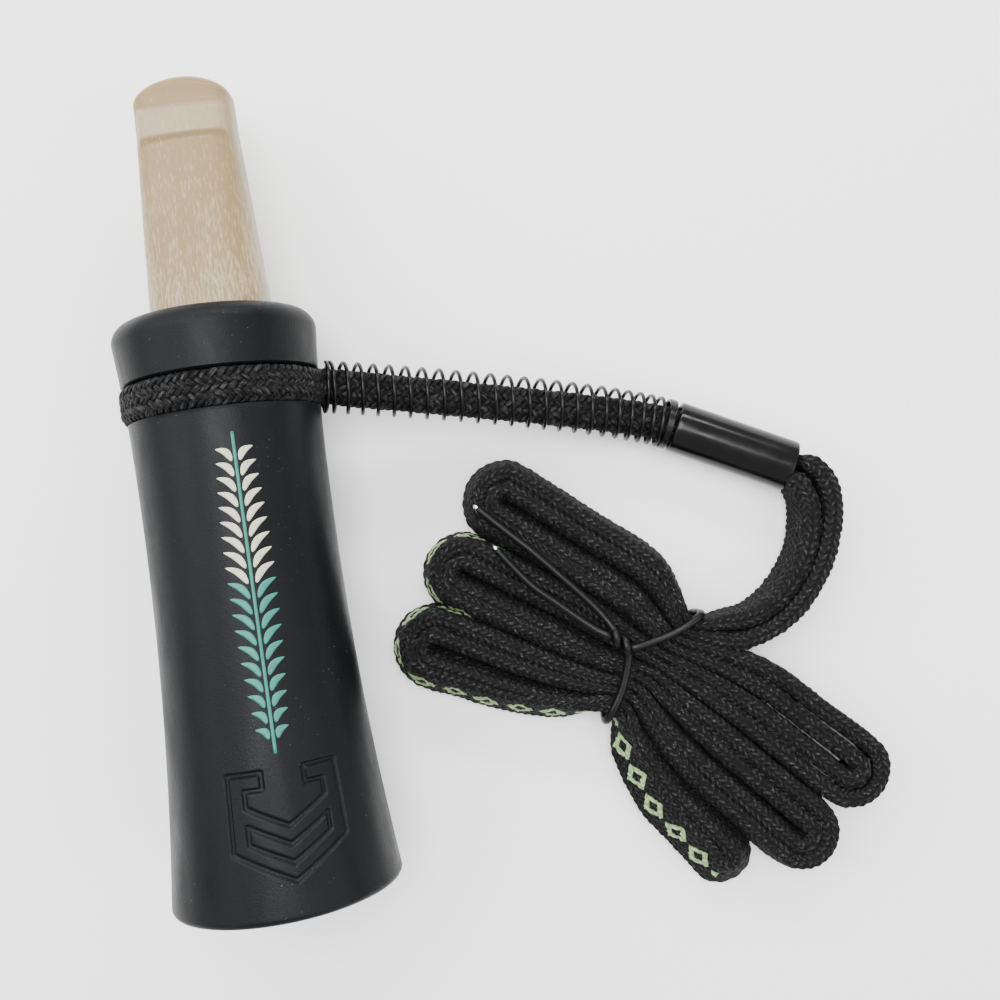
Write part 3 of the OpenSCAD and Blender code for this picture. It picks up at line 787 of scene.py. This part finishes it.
def spigot(material):
    """The part of the mouthpiece that sits in the socket, with a slot for each seal."""
    slots = []
    for s in (REAR_SEAL_S, FRONT_SEAL_S):
        low, high = s - SEAL_SLOT_W / 2, s + SEAL_SLOT_W / 2
        slots += [[low - 0.0001, SPIGOT_R], [low, SPIGOT_R - 0.0001], [low, SEAL_FLOOR_R],
                  [high, SEAL_FLOOR_R], [high, SPIGOT_R - 0.0001], [high + 0.0001, SPIGOT_R]]
    profile = np.array([
        [SPIGOT_S, 0.004], [SPIGOT_S, SPIGOT_R - 0.0004], [SPIGOT_S + 0.0004, SPIGOT_R],
        *slots,
        [RIM_S - 0.0012, SPIGOT_R], [RIM_S - 0.001, SPIGOT_R - 0.0002], [RIM_S - 0.001, 0.004],
    ])
    return turned("spigot", profile, angles_round(128), material)


def cut(piece, tool, operation):
    """Joins or cuts one solid with another, and removes the other."""
    change = piece.modifiers.new("change", "BOOLEAN")
    change.operation = operation
    change.solver = "EXACT"
    change.object = tool
    bpy.context.view_layer.objects.active = piece
    bpy.ops.object.modifier_apply(modifier=change.name)
    bpy.data.objects.remove(tool)


def plain_solid(name, points, sides, material):
    return add_mesh(name, points, skin_faces(len(points), sides), material)


def mouthpiece():
    material = pearl_plastic()
    made = blade(material)
    cut(made, spigot(material), "UNION")
    angle = angles_round(96)
    rings = [
        on_call(CHAMBER_R * np.cos(angle), CHAMBER_R * np.sin(angle), 0 * angle + s)
        for s in (SPIGOT_S - 0.001, CHAMBER_TOP_S)
    ]
    cut(made, plain_solid("chamber", np.array(rings), 96, material), "DIFFERENCE")
    slot, _ = round_section(AIR_SLOT_W, AIR_SLOT_H, AIR_SLOT_CORNER, 64)
    rings = [
        on_call(slot[:, 0] * grow, slot[:, 1] * grow, np.full(64, s))
        for s, grow in ((CHAMBER_TOP_S - 0.001, 1), (TIP_S - 0.0012, 1), (TIP_S + 0.001, 1.5))
    ]
    cut(made, plain_solid("air_slot", np.array(rings), 64, material), "DIFFERENCE")
    made.name = made.data.name = "mouthpiece_body"
    set_sharp(made, 35)
    places = np.array([v.co for v in made.data.vertices])
    from_axis = places - np.array([0, 0, AXIS_HEIGHT])
    station = from_axis @ CALL_DIR
    set_place(made, "place", np.stack([places[:, 0], from_axis @ CALL_UP, station], axis=1))
    edge = np.abs(places[:, 0]) / 0.009
    set_number(made, "base", np.clip(1 - (station - RIM_S) / 0.03, 0, 1) + 0.5 * edge ** 3)
    # Mask of the painted highlight on the bite ridge's plateau, stopping short of the blade's sides.
    behind = TIP_S - station
    painted_ridge_highlight = smooth_step(behind, RIDGE_START - 0.0008, RIDGE_FOOT) * smooth_step(behind, RIDGE_END, RIDGE_TOP)
    set_number(made, "painted_ridge_highlight", painted_ridge_highlight * smooth_step(np.abs(places[:, 0]), 0.0068, 0.0060))
    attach(made, "mouthpiece_unit")
    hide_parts("mouthpiece")


def seal_ring(name, station, replaced, material):
    around = angles_round(24)
    profile = np.stack([
        station + SEAL_WIRE_R * np.cos(around), SEAL_RING_R + SEAL_WIRE_R * np.sin(around)
    ], axis=1)
    made = turned(name, profile, angles_round(144), material)
    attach(made, "seals")
    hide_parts(replaced)


def seals():
    """Both rings, in the plain seal material that comes with the CAD model."""
    material = bpy.data.materials["seal_rubber"]
    seal_ring("seal_front", FRONT_SEAL_S, "front_seal_ring", material)
    seal_ring("seal_rear", REAR_SEAL_S, "rear_seal_ring", material)


def reed():
    """The reed: a thin flat strip lifted a little above the call's axis, narrowing at its free end."""
    section, _ = round_section(REED_W, REED_T, 0.00012, 24)
    across, up = section.T
    rings = []
    for s in np.linspace(REED_START_S, REED_END_S, 90):
        narrowing = 1 - 0.12 * smooth_step(s, REED_END_S - 0.0012, REED_END_S) ** 2
        rings.append(on_call(across * narrowing, up + REED_LIFT, 0 * across + s))
    made = add_mesh(
        "reed_film", np.array(rings), skin_faces(len(rings), 24),
        coated("reed_film", (0.86, 0.86, 0.8, 1), 0.22),
    )
    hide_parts("reed")
    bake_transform(made)


# ---- the loop: cord, spring and ferrule ----

STRANDS = 20
BRAID_PITCH = 0.0115
BRAID_W = 0.0050
STRAND_W = 0.00084
STRAND_T = 0.00046
CORE_CORNER = 0.0004
CORD_STEP = 0.0002
# The legs' course: how they lie in the ferrule and the spring, and bend into the turn.
END_LIFT = np.array([0, 0, 0.00105])
LEG_SAG = 0.0005
BEND_START = 0.01
BEND_CORNER = 0.0133


def spring_side(t):
    d = bezier_dir(t)
    return unit(np.stack([-d[..., 1], d[..., 0], 0 * d[..., 0]], axis=-1))


def spring_up(t):
    return np.cross(bezier_dir(t), spring_side(t))


def loop_rows():
    """The cord's middle line and the direction of its width, from the crimp round to the crimp."""

    def leg(way):
        rows = [
            [*(FERRULE_START + x * FERRULE_DIR + way * END_LIFT), *FERRULE_SIDE]
            for x in (0.008, 0.0045, 0.0012)
        ]
        for t in np.arange(0.94, 0.07, -0.06):
            sag = LEG_SAG * math.sin(math.pi * t)
            place = bezier(t) + way * LEG_LIFT * spring_up(t) - sag * spring_side(t)
            rows.append([*place, *spring_side(t)])
        return rows

    def loop_point(angle):
        return LOOP_CENTRE + LOOP_R * (math.cos(angle) * LOOP_OUT + math.sin(angle) * LOOP_UP)

    def bend(way):
        start = bezier(BEND_START) + way * LEG_LIFT * spring_up(BEND_START)
        corner = LOOP_CENTRE + BEND_CORNER * LOOP_OUT + way * LEG_LIFT * LOOP_UP
        end = loop_point(way * LOOP_OPEN_ANGLE)
        return [
            [*((1 - t) ** 2 * start + 2 * t * (1 - t) * corner + t * t * end), *CALL_DIR]
            for t in (0, 0.25, 0.5, 0.75)
        ]

    turn = [
        [*loop_point(a), *CALL_DIR]
        for a in np.linspace(LOOP_OPEN_ANGLE, 2 * math.pi - LOOP_OPEN_ANGLE, 25)
    ]
    return [*leg(1), *bend(1), *turn, *bend(-1)[::-1], *leg(-1)[::-1]]


def loop_line():
    rows = through(loop_rows(), CORD_STEP)
    return rows[:, :3], unit(rows[:, 3:])


def cord_sides(line, width_dir):
    """The directions of the cord's width and thickness, square to the line."""
    d = directions(line)
    side = unit(width_dir - np.sum(width_dir * d, axis=1, keepdims=True) * d)
    return side, np.cross(d, side)


def braid_rings(line, width_dir, strand):
    """Rings of one strand of a braid in which each strand goes over two and under two."""
    way = 1 if strand % 2 else -1
    index = strand // 2
    each_way = STRANDS // 2
    gone = gone_along(line)
    phase = way * gone / BRAID_PITCH + index / each_way
    crossing = math.pi * each_way * gone / BRAID_PITCH
    lift = way * np.cos(way * crossing + math.pi * index + math.pi / 4)
    lift = np.clip(1.5 * lift, -1, 1) * STRAND_T * 0.42
    uneven = 1 + 0.16 * np.sin(gone / 0.0023 + 2.1 * strand) + 0.1 * np.sin(gone / 0.0009 + 1.3 * strand)
    table, outward = round_section(
        BRAID_W - 2 * STRAND_T, CORD_T - 2 * STRAND_T, (CORD_T - 2 * STRAND_T) * 0.49, 256
    )
    at = (phase % 1) * 256

    def look_up(rows):
        low = np.floor(at).astype(int) % 256
        share = (at - np.floor(at))[:, None]
        return rows[low] * (1 - share) + rows[(low + 1) % 256] * share

    section, out = look_up(table), unit(look_up(outward))
    side, up = cord_sides(line, width_dir)
    normal = out[:, :1] * side + out[:, 1:] * up
    middle = line + section[:, :1] * side + section[:, 1:] * up + (STRAND_T / 2 + lift)[:, None] * normal
    along = directions(middle)
    across = np.cross(normal, along)
    angle = angles_round(8)
    rings = middle[:, None] + (
        STRAND_W / 2 * np.cos(angle)[None, :, None] * across[:, None] * uneven[:, None, None]
        + STRAND_T / 2 * np.sin(angle)[None, :, None] * normal[:, None] * uneven[:, None, None]
    )
    # The relief also places the painted glints: strands on top get them, strands underneath and the core
    # stay dark as painted shade.
    relief = 0.5 + 0.5 * lift[:, None] / (STRAND_T * 0.42) + 0 * angle[None, :]
    place = np.stack([
        STRAND_W / 2 * np.cos(angle)[None, :] + 0 * gone[:, None] + 0.003 * strand,
        STRAND_T / 2 * np.sin(angle)[None, :] + 0 * gone[:, None],
        gone[:, None] + 0 * angle[None, :],
    ], axis=-1)
    return rings, relief, place


def braid(name, line, width_dir, material):
    """All the strands of the braid over a plain core, as one mesh."""
    points, relief, places, faces = [], [], [], []
    start = 0
    for strand in range(STRANDS):
        rings, high, place = braid_rings(line, width_dir, strand)
        faces += skin_faces(rings.shape[0], rings.shape[1], start=start)
        points.append(rings.reshape(-1, 3))
        relief.append(high.ravel())
        places.append(place.reshape(-1, 3))
        start += rings.shape[0] * rings.shape[1]
    core, _ = round_section(BRAID_W - 3 * STRAND_T, CORD_T - 3 * STRAND_T, CORE_CORNER, 20)
    side, up = cord_sides(line, width_dir)
    rings = line[:, None] + core[None, :, :1] * side[:, None] + core[None, :, 1:] * up[:, None]
    faces += skin_faces(len(line), 20, start=start)
    points.append(rings.reshape(-1, 3))
    relief.append(np.zeros(len(line) * 20))
    places.append(rings.reshape(-1, 3))
    made = add_mesh(name, np.vstack(points), faces, material)
    set_number(made, "relief", np.concatenate(relief))
    set_place(made, "place", np.vstack(places))
    return made


# Pushing the ferrule along shortens the legs and the spring and opens the loop's far side.
LOOP_SLIDE = np.array(joints["loop_open"]["axis"])
# How far the legs reach into the ferrule before they ride on it, and the gap between the spring and the
# ferrule.
LEG_HIDDEN = 0.0003
SPRING_GAP = 0.0003


def shorten(piece):
    """Hangs the piece on the lanyard body, with a mesh of its own."""
    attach(piece, "lanyard")
    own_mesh(piece)


def cord_leg(name, line, width_dir, material):
    """One leg of the loop: its end stays in the ferrule, and the rest hangs on the lanyard."""
    inside = int(np.sum((line - FERRULE_START) @ FERRULE_DIR > LEG_HIDDEN))
    end = braid(name + "_end", line[: inside + 1], width_dir[: inside + 1], material)
    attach(end, "ferrule_unit")
    shorten(braid(name, line[inside:], width_dir[inside:], material))


def loop_cord():
    """The braided cord in three parts: the turn round the barrel, and its two legs."""
    # The yarn's second colour is its painted highlight colour for the glints.
    material = yarn("cord_braid", (0.001, 0.001, 0.0012, 1), (0.05, 0.05, 0.052, 1), 0.1, 0.2)[0]
    line, width_dir = loop_line()
    past_start = (line - SPRING_START) @ -LOOP_SLIDE > 0.0
    first = int(np.argmax(~past_start))
    last = len(line) - int(np.argmax(~past_start[::-1]))
    cord_leg("cord_leg_upper", line[: first + 1], width_dir[: first + 1], material)
    cord_leg("cord_leg_lower", line[last - 1:][::-1], width_dir[last - 1:][::-1], material)
    turn = braid("cord_turn", line[first:last], width_dir[first:last], material)
    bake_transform(turn)
    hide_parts("loop_cord")


def spring_place(turn):
    """Share of the way along the spring's axis at a turn; both ends are closed."""
    run = np.linalg.norm(SPRING_AXIS[3] - SPRING_AXIS[0])
    closed = SPRING_WIRE * 1.05 / run
    marks = [0, 1, 1 + OPEN_TURNS, TURNS]
    end = 1 - SPRING_GAP / run
    return np.interp(turn, marks, [0, closed, end - CLOSED_TURNS * closed, end])


def loop_spring():
    """The black wire spring round the cord's legs."""
    turn = np.linspace(0, TURNS, TURNS * 36 + 1)
    t = spring_place(turn)
    angle = (2 * math.pi * turn)[:, None]
    coil_r = SPRING_R - SPRING_WIRE / 2
    line = bezier(t) + coil_r * (np.cos(angle) * spring_side(t) + np.sin(angle) * spring_up(t))
    made = tube(
        "spring_coil", line, SPRING_WIRE / 2, 12,
        coated("spring_wire", (0.002, 0.002, 0.0025, 1), 0.2, grain=900, gloss=0.2),
    )
    shorten(made)
    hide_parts("loop_spring")


def ferrule():
    """A glossy tube whose ends are rounded."""
    rounding = 0.00035
    profile = np.array([
        *arc(rounding, FERRULE_R - rounding, rounding, 180, 90, 6),
        *[[s, FERRULE_R] for s in np.linspace(0.001, FERRULE_LENGTH - 0.001, 24)],
        *arc(FERRULE_LENGTH - rounding, FERRULE_R - rounding, rounding, 90, 0, 6),
        [FERRULE_LENGTH, FERRULE_BORE_R + 0.0002],
        [FERRULE_LENGTH - 0.0002, FERRULE_BORE_R],
        [0.0002, FERRULE_BORE_R],
        [0, FERRULE_BORE_R + 0.0002],
    ])
    angle = angles_round(96)
    out = np.cos(angle)[:, None] * FERRULE_SIDE + np.sin(angle)[:, None] * np.array([0, 0, 1.0])
    points = FERRULE_START + profile[:, 0][:, None, None] * FERRULE_DIR + profile[:, 1][:, None, None] * out
    material = coated("ferrule_plastic", (0.002, 0.002, 0.0023, 1), 0.2, 0.07, 250, 0.00008, 0.22)
    faces = skin_faces(len(profile), 96, looped=True)
    made = add_mesh("ferrule_tube", points, faces, material)
    set_sharp(made, 40)
    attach(made, "ferrule_unit")
    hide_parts("ferrule")


# ---- the webbing ----

# The layers' places across the hank at the tie: the first, on the lead's side, and the step.
TIE_TOP = 0.0092
TIE_PITCH = 0.00167

# Lobes of the hank: the layers they hold (first, last), which end they are at, and the middle and
# the half width of the outer run's middle line at the shoulder and at the fold.
LOBES = {
    "top": (1, 4, -1, (-0.011, 0.0080, 0.0044), (-0.0342, 0.0038, 0.0048), (0.15, 0.25)),
    "middle": (5, 8, -1, (-0.015, -0.0040, 0.0044), (-0.0316, -0.0088, 0.0046), (0.1, 0.3)),
    "bottom": (9, 12, -1, (-0.014, -0.0149, 0.0044), (-0.0272, -0.0203, 0.0048), (0.05, 0.42)),
    "right_one": (3, 6, 1, (0.015, 0.0073, 0.0045), (0.0333, 0.0086, 0.0048), (0.0, 0.05)),
    "right_two": (7, 10, 1, (0.015, -0.0044, 0.0044), (0.0343, -0.0039, 0.0047), (0.05, 0.2)),
    "right_three": (11, 12, 1, (0.015, -0.0134, 0.0020), (0.0283, -0.0145, 0.0023), (0.35, 0.7)),
}
# The lobes in the order the webbing visits them: the layers out and back, and where the woven
# pattern shows, as marks for the way out, the fold and the way back.
VISITS = [
    ("top", 1, 4, (0, 0, 0)), ("right_one", 4, 5, (0, 0, 0)), ("middle", 5, 8, (0, 1, 0)),
    ("right_two", 8, 9, (0, 0, 0)), ("bottom", 9, 12, (0, 1, 1)), ("right_three", 12, 11, (1, 0, 0)),
    ("bottom", 11, 10, (0, 0, 0)), ("right_two", 10, 7, (0, 0, 0)), ("middle", 7, 6, (0, 0, 0)),
    ("right_one", 6, 3, (0, 0, 0)), ("top", 3, 2, (0, 0, 0)),
]
TIE_MIDDLE = 0.00455
# Share of the way from the tie to the shoulder, along and across, at which the runs start to part.
NEAR_TIE = np.array([0.45, 0.52])

# The lead's runs lean apart, are plumper than the hank's, and part where the outer one turns.
LEAD_LEAN = 0.14
LEAD_PLUMP = -0.35
LEAD_PARTING = (1.3, 1.5, 1.3, 1.1, 1.0)
IN_FERRULE_OFF = 0.00115
IN_FERRULE_SQUEEZE = 1.6

# The knit: stitches along the webbing, and columns of them from edge to edge.
STITCH = 0.00115
COLUMNS = 20
STITCH_HEIGHT = 0.00046
DIAMOND_PITCH = 0.0052
DIAMOND_HALF_H = 0.0023
WEBBING_STEP = 0.0002
SECTION_POINTS = 88


def tie_row(layer, mark):
    """Where a layer passes under the tie, squeezed."""
    return [*on_hank(0, TIE_TOP - TIE_PITCH * (layer - 1), TIE_MIDDLE), 1.0, 0.0, mark]


def lobe_rows(name, out_layer, back_layer, marks):
    """Out along one layer, round the fold and back along the other: place, squeeze, lean, mark."""
    first, last, way, shoulder, fold, leans = LOBES[name]
    shoulder_at, fold_at = np.array(shoulder[:2]), np.array(fold[:2])
    along = unit(fold_at - shoulder_at)
    across = np.array([-along[1], along[0]]) * way

    def offset(layer, half):
        return half * (1 - 2 * (layer - first) / (last - first))

    def row(place, squeeze, layer, mark):
        lean = np.interp(layer, [first, last], leans)
        return [*on_hank(*place, WEBBING_MIDDLE), squeeze, lean, mark]

    def straight(layer, mark):
        tie = np.array([0, TIE_TOP - TIE_PITCH * (layer - 1)])
        shoulder_place = shoulder_at + offset(layer, shoulder[2]) * np.array([0, 1])
        fold_place = fold_at + offset(layer, fold[2]) * across
        near = tie + (shoulder_place - tie) * NEAR_TIE
        return [
            row(near, 0.35, layer, mark),
            row(shoulder_place, 0.0, layer, mark),
            row((shoulder_place + fold_place) / 2, 0.0, layer, mark),
            row(fold_place, 0.0, layer, max(mark, marks[1])),
        ]

    radius = offset(out_layer, fold[2])
    turn = [
        row(fold_at + radius * math.cos(a) * across + abs(radius) * math.sin(a) * along, 0.0,
            out_layer + (back_layer - out_layer) * a / math.pi, marks[1])
        for a in np.radians([36, 72, 108, 144])
    ]
    return [*straight(out_layer, marks[0]), *turn, *straight(back_layer, marks[2])[::-1]]


def lead_rows(way):
    """One run of the lead, from inside the ferrule to where the hank takes over."""
    inside = [
        [
            *(FERRULE_START + x * FERRULE_DIR + way * IN_FERRULE_OFF * FERRULE_SIDE),
            IN_FERRULE_SQUEEZE, 0.0, 0,
        ]
        for x in (0.0165, 0.0190)
    ]
    d = directions(LEAD_ROUTE)
    outside = []
    for i in range(len(LEAD_ROUTE)):
        side = unit(np.array([-d[i][1], d[i][0], 0]))
        parting = np.interp(i, range(len(LEAD_PARTING)), LEAD_PARTING) if way > 0 else 1
        spacing = 0.55 * WEBBING_T * parting
        lean = LEAD_LEAN * min(1, i / 2) * min(1, (len(LEAD_ROUTE) - i) / 4)
        place = LEAD_ROUTE[i] + way * spacing * side
        plump = LEAD_PLUMP * min(1, (len(LEAD_ROUTE) - 1 - i) / 4)
        outside.append([*place, plump, -way * lean, 0])
    return [*inside, *outside]


def webbing_rows():
    """The whole of the webbing: a lead, the lobes in turn and the other lead."""
    rows = lead_rows(-1)
    for name, out_layer, back_layer, marks in VISITS:
        rows += [tie_row(out_layer, marks[0]), *lobe_rows(name, out_layer, back_layer, marks)]
    rows.append(tie_row(2, 0))
    return rows + lead_rows(1)[::-1]


def stitches(gone, column):
    """Relief of the knit, from 0 in its grooves to 1: columns of slanting stitches, in pairs."""
    within = column % 1 - 0.5
    number = np.floor(column).astype(int)
    slant = np.where(number % 2, -1, 1) * within
    along = gone[:, None] / STITCH + 0.95 * slant[None, :]
    uneven = np.random.default_rng(5).uniform(0.62, 1, (int(along.max()) + 3, COLUMNS))
    plump = np.cos(math.pi * within) ** 0.5
    wave = np.abs(np.sin(math.pi * along)) ** 0.8
    size = uneven[np.floor(along).astype(int) + 1, number[None, :]]
    return wave * size * (0.15 + 0.85 * plump[None, :])


def pattern(gone, across, y, mark):
    """Where the pale pattern is woven in: a chain of hollow diamonds on one face."""
    along = ((gone[:, None] / DIAMOND_PITCH) % 1 - 0.5) * DIAMOND_PITCH
    size = np.abs(along) / (0.46 * DIAMOND_PITCH) + np.abs(y) / DIAMOND_HALF_H
    ring = 1 - np.abs(size - 0.72) / 0.5
    return np.clip(ring, 0, 1) * (across[None, :] > 0.4) * smooth_step(mark, 0.3, 0.5)[:, None]


def webbing():
    """The neck webbing, one band from the ferrule through the hank and back to the ferrule."""
    rows = through(webbing_rows(), WEBBING_STEP)
    line, squeeze, lean = rows[:, :3], np.clip(rows[:, 3], LEAD_PLUMP, IN_FERRULE_SQUEEZE), rows[:, 4]
    d = directions(line)
    flat_side = unit(np.stack([d[:, 1], -d[:, 0], 0 * d[:, 0]], axis=1))
    up = np.array([0, 0, 1.0])
    side = np.cos(lean)[:, None] * flat_side + np.sin(lean)[:, None] * up
    tall = np.cos(lean)[:, None] * up - np.sin(lean)[:, None] * flat_side
    section, outward = round_section(1.0, WEBBING_W / WEBBING_T, 0.36, SECTION_POINTS)
    thickness = 0.95 * WEBBING_T * (1 - 0.42 * np.minimum(squeeze, 1))
    height = 0.98 * WEBBING_W * (1 - 0.26 * np.clip(squeeze, 0, 1) - 0.4 * np.maximum(squeeze - 1, 0))
    x = section[None, :, 0] * thickness[:, None]
    y = section[None, :, 1] * (height / WEBBING_W * WEBBING_T)[:, None]
    gone = np.arange(len(line)) * WEBBING_STEP
    share = np.arange(SECTION_POINTS) / SECTION_POINTS
    relief = stitches(gone, COLUMNS * np.minimum(share, 1 - share))
    raised = STITCH_HEIGHT * (relief - 0.6) * (1 - 0.4 * np.minimum(squeeze, 1))[:, None]
    x = x + outward[None, :, 0] * raised
    y = y + outward[None, :, 1] * raised
    points = line[:, None] + x[..., None] * side[:, None] + y[..., None] * tall[:, None]
    made = add_mesh(
        "neck_webbing", points, skin_faces(len(line), SECTION_POINTS), webbing_yarn(),
    )
    # The relief also places the painted glints and the pattern's painted shade and light.
    set_number(made, "relief", relief)
    shift = np.broadcast_to(gone[:, None], x.shape)
    set_place(made, "place", np.stack([x, y, shift], axis=-1))
    set_number(made, "pattern", pattern(gone, section[:, 0], y, rows[:, 5]))
    for name in ("webbing_lead_outer", "webbing_lead_inner", "webbing_hank"):
        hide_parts(name)
    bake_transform(made)


# ---- the wire tie ----

# On the hank: along, across and height. The tail, once round the hank, and the end.
TIE_TAIL = [
    [-0.0374, 0.0002, 0.0089], [-0.0320, 0.0005, 0.0088], [-0.0260, 0.0009, 0.0088],
    [-0.0200, 0.0010, 0.0088], [-0.0140, 0.0010, 0.0089], [-0.0107, 0.0007, 0.0091],
]
TIE_TURN = [
    [-0.0030, 0.0030, 0.0091], [-0.0015, 0.0060, 0.0089], [-0.0004, 0.0094, 0.0086],
    [0, 0.0110, 0.0074], [0, 0.0110, 0.0044], [0, 0.0106, 0.0015], [0, 0.0092, 0.00075],
    [0, 0, 0.00075], [0, -0.0092, 0.00075], [0, -0.0106, 0.0015], [0, -0.0110, 0.0044],
    [0, -0.0110, 0.0074], [-0.0004, -0.0094, 0.0086], [-0.0015, -0.0060, 0.0089],
    [-0.0030, -0.0032, 0.0091],
]
TIE_END = [
    [-0.0107, -0.0015, 0.0091], [-0.0140, -0.0020, 0.0089], [-0.0180, -0.0025, 0.0088],
    [-0.0225, -0.0030, 0.0088], [-0.0270, -0.0028, 0.0088], [-0.0310, -0.0024, 0.0089],
]
TWIST = [-0.0088, -0.0046]
TWIST_MIDDLE = [-0.0003, 0.0094]
TWIST_R = 0.00064
TIE_STEP = 0.0003
BARE_LENGTH = 0.0007


def twisted(way):
    """One end of the tie in the twist, from its outer end to its inner end."""
    across, height = TWIST_MIDDLE
    off = way * TWIST_R
    return [
        [along, across + off * math.cos(turn), height + off * math.sin(turn)]
        for along, turn in zip(np.linspace(*TWIST, 9), np.linspace(0, 2 * math.pi, 9))
    ]


def wire_tie():
    """The coated wire, with a little bare metal at both cut ends."""
    route = [*TIE_TAIL, *twisted(1), *TIE_TURN, *twisted(-1)[::-1], *TIE_END]
    line = through([on_hank(*place) for place in route], TIE_STEP)
    bare = round(BARE_LENGTH / TIE_STEP)
    material = coated("tie_coating", (0.003, 0.003, 0.0035, 1), 0.32, 0.08, 1200, 0.00006, 0.18)
    made = tube("tie_coat", line[bare:-bare], TIE_WIRE / 2, 16, material)
    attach(made, "lanyard")
    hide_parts("wire_tie")
    tip_metal = bare_metal("tie_core", (0.8, 0.8, 0.82, 1), 0.25)
    for name, end in (("tie_tip_long", line[: bare + 3]), ("tie_tip_short", line[-bare - 3:])):
        tip = tube(name, end, TIE_WIRE * 0.3, 12, tip_metal)
        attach(tip, "lanyard")


# ---- the CAD pieces that show as they are ----


def dress_cad():
    looks = {
        "tone_board": coated("tone_board_plastic", (0.8, 0.76, 0.66, 1), 0.4),
        "reed_wedge": cork(),
        "splice_crimp": bare_metal("crimp_metal", (0.7, 0.71, 0.73, 1), 0.3),
    }
    for name, material in looks.items():
        nodes[name].data.materials.clear()
        nodes[name].data.materials.append(material)


# ---- camera, floor and lights ----


def camera():
    """The camera looks straight down, from 0.18 m above the surface."""
    made = bpy.data.cameras.new("camera")
    made.sensor_width = 36
    made.lens = 40.3
    view = bpy.data.objects.new("camera", made)
    view.location = (0.0383, -0.008, 0.1803)
    view.rotation_euler = (0, 0, math.radians(-8))
    bpy.context.scene.collection.objects.link(view)
    bpy.context.scene.camera = view


def light(name, place, aim, size, power):
    made = bpy.data.lights.new(name, "AREA")
    made.shape = "RECTANGLE"
    made.size, made.size_y = size
    made.energy = power
    lamp = bpy.data.objects.new(name, made)
    lamp.location = place
    turn = (np.array(place) - np.array(aim)).tolist()
    lamp.rotation_euler = Vector(turn).to_track_quat("Z", "Y").to_euler()
    bpy.context.scene.collection.objects.link(lamp)


def studio():
    bpy.ops.mesh.primitive_plane_add(size=3, location=(0, 0, -0.0002))
    floor = bpy.context.object
    floor.name = "floor"
    made, _, surface = new_material("floor_paper", Base_Color=(0.93, 0.93, 0.93, 1), Roughness=0.9)
    surface.inputs["Specular IOR Level"].default_value = 0.1
    floor.data.materials.append(made)
    world = bpy.data.worlds.new("studio")
    world.use_nodes = True
    world.node_tree.nodes["Background"].inputs["Color"].default_value = (1, 1, 1, 1)
    world.node_tree.nodes["Background"].inputs["Strength"].default_value = 1.0
    bpy.context.scene.world = world
    light("top", (0.03, 0.08, 0.55), (0.03, 0, 0), (0.3, 0.3), 4.0)
    light("key", (-0.42, 0.26, 0.46), (0.02, 0, 0), (0.7, 0.5), 5.5)
    light("fill", (0.45, -0.25, 0.4), (0.03, 0, 0), (0.5, 0.5), 2.0)
    light("strip", (0.12, 0.42, 0.3), (0.05, 0, 0), (0.5, 0.08), 2.5)


camera()
webbing()
loop_cord()
studio()
dress_cad()
barrel()
print_mark()
mouthpiece()
seals()
reed()
loop_spring()
ferrule()
wire_tie()
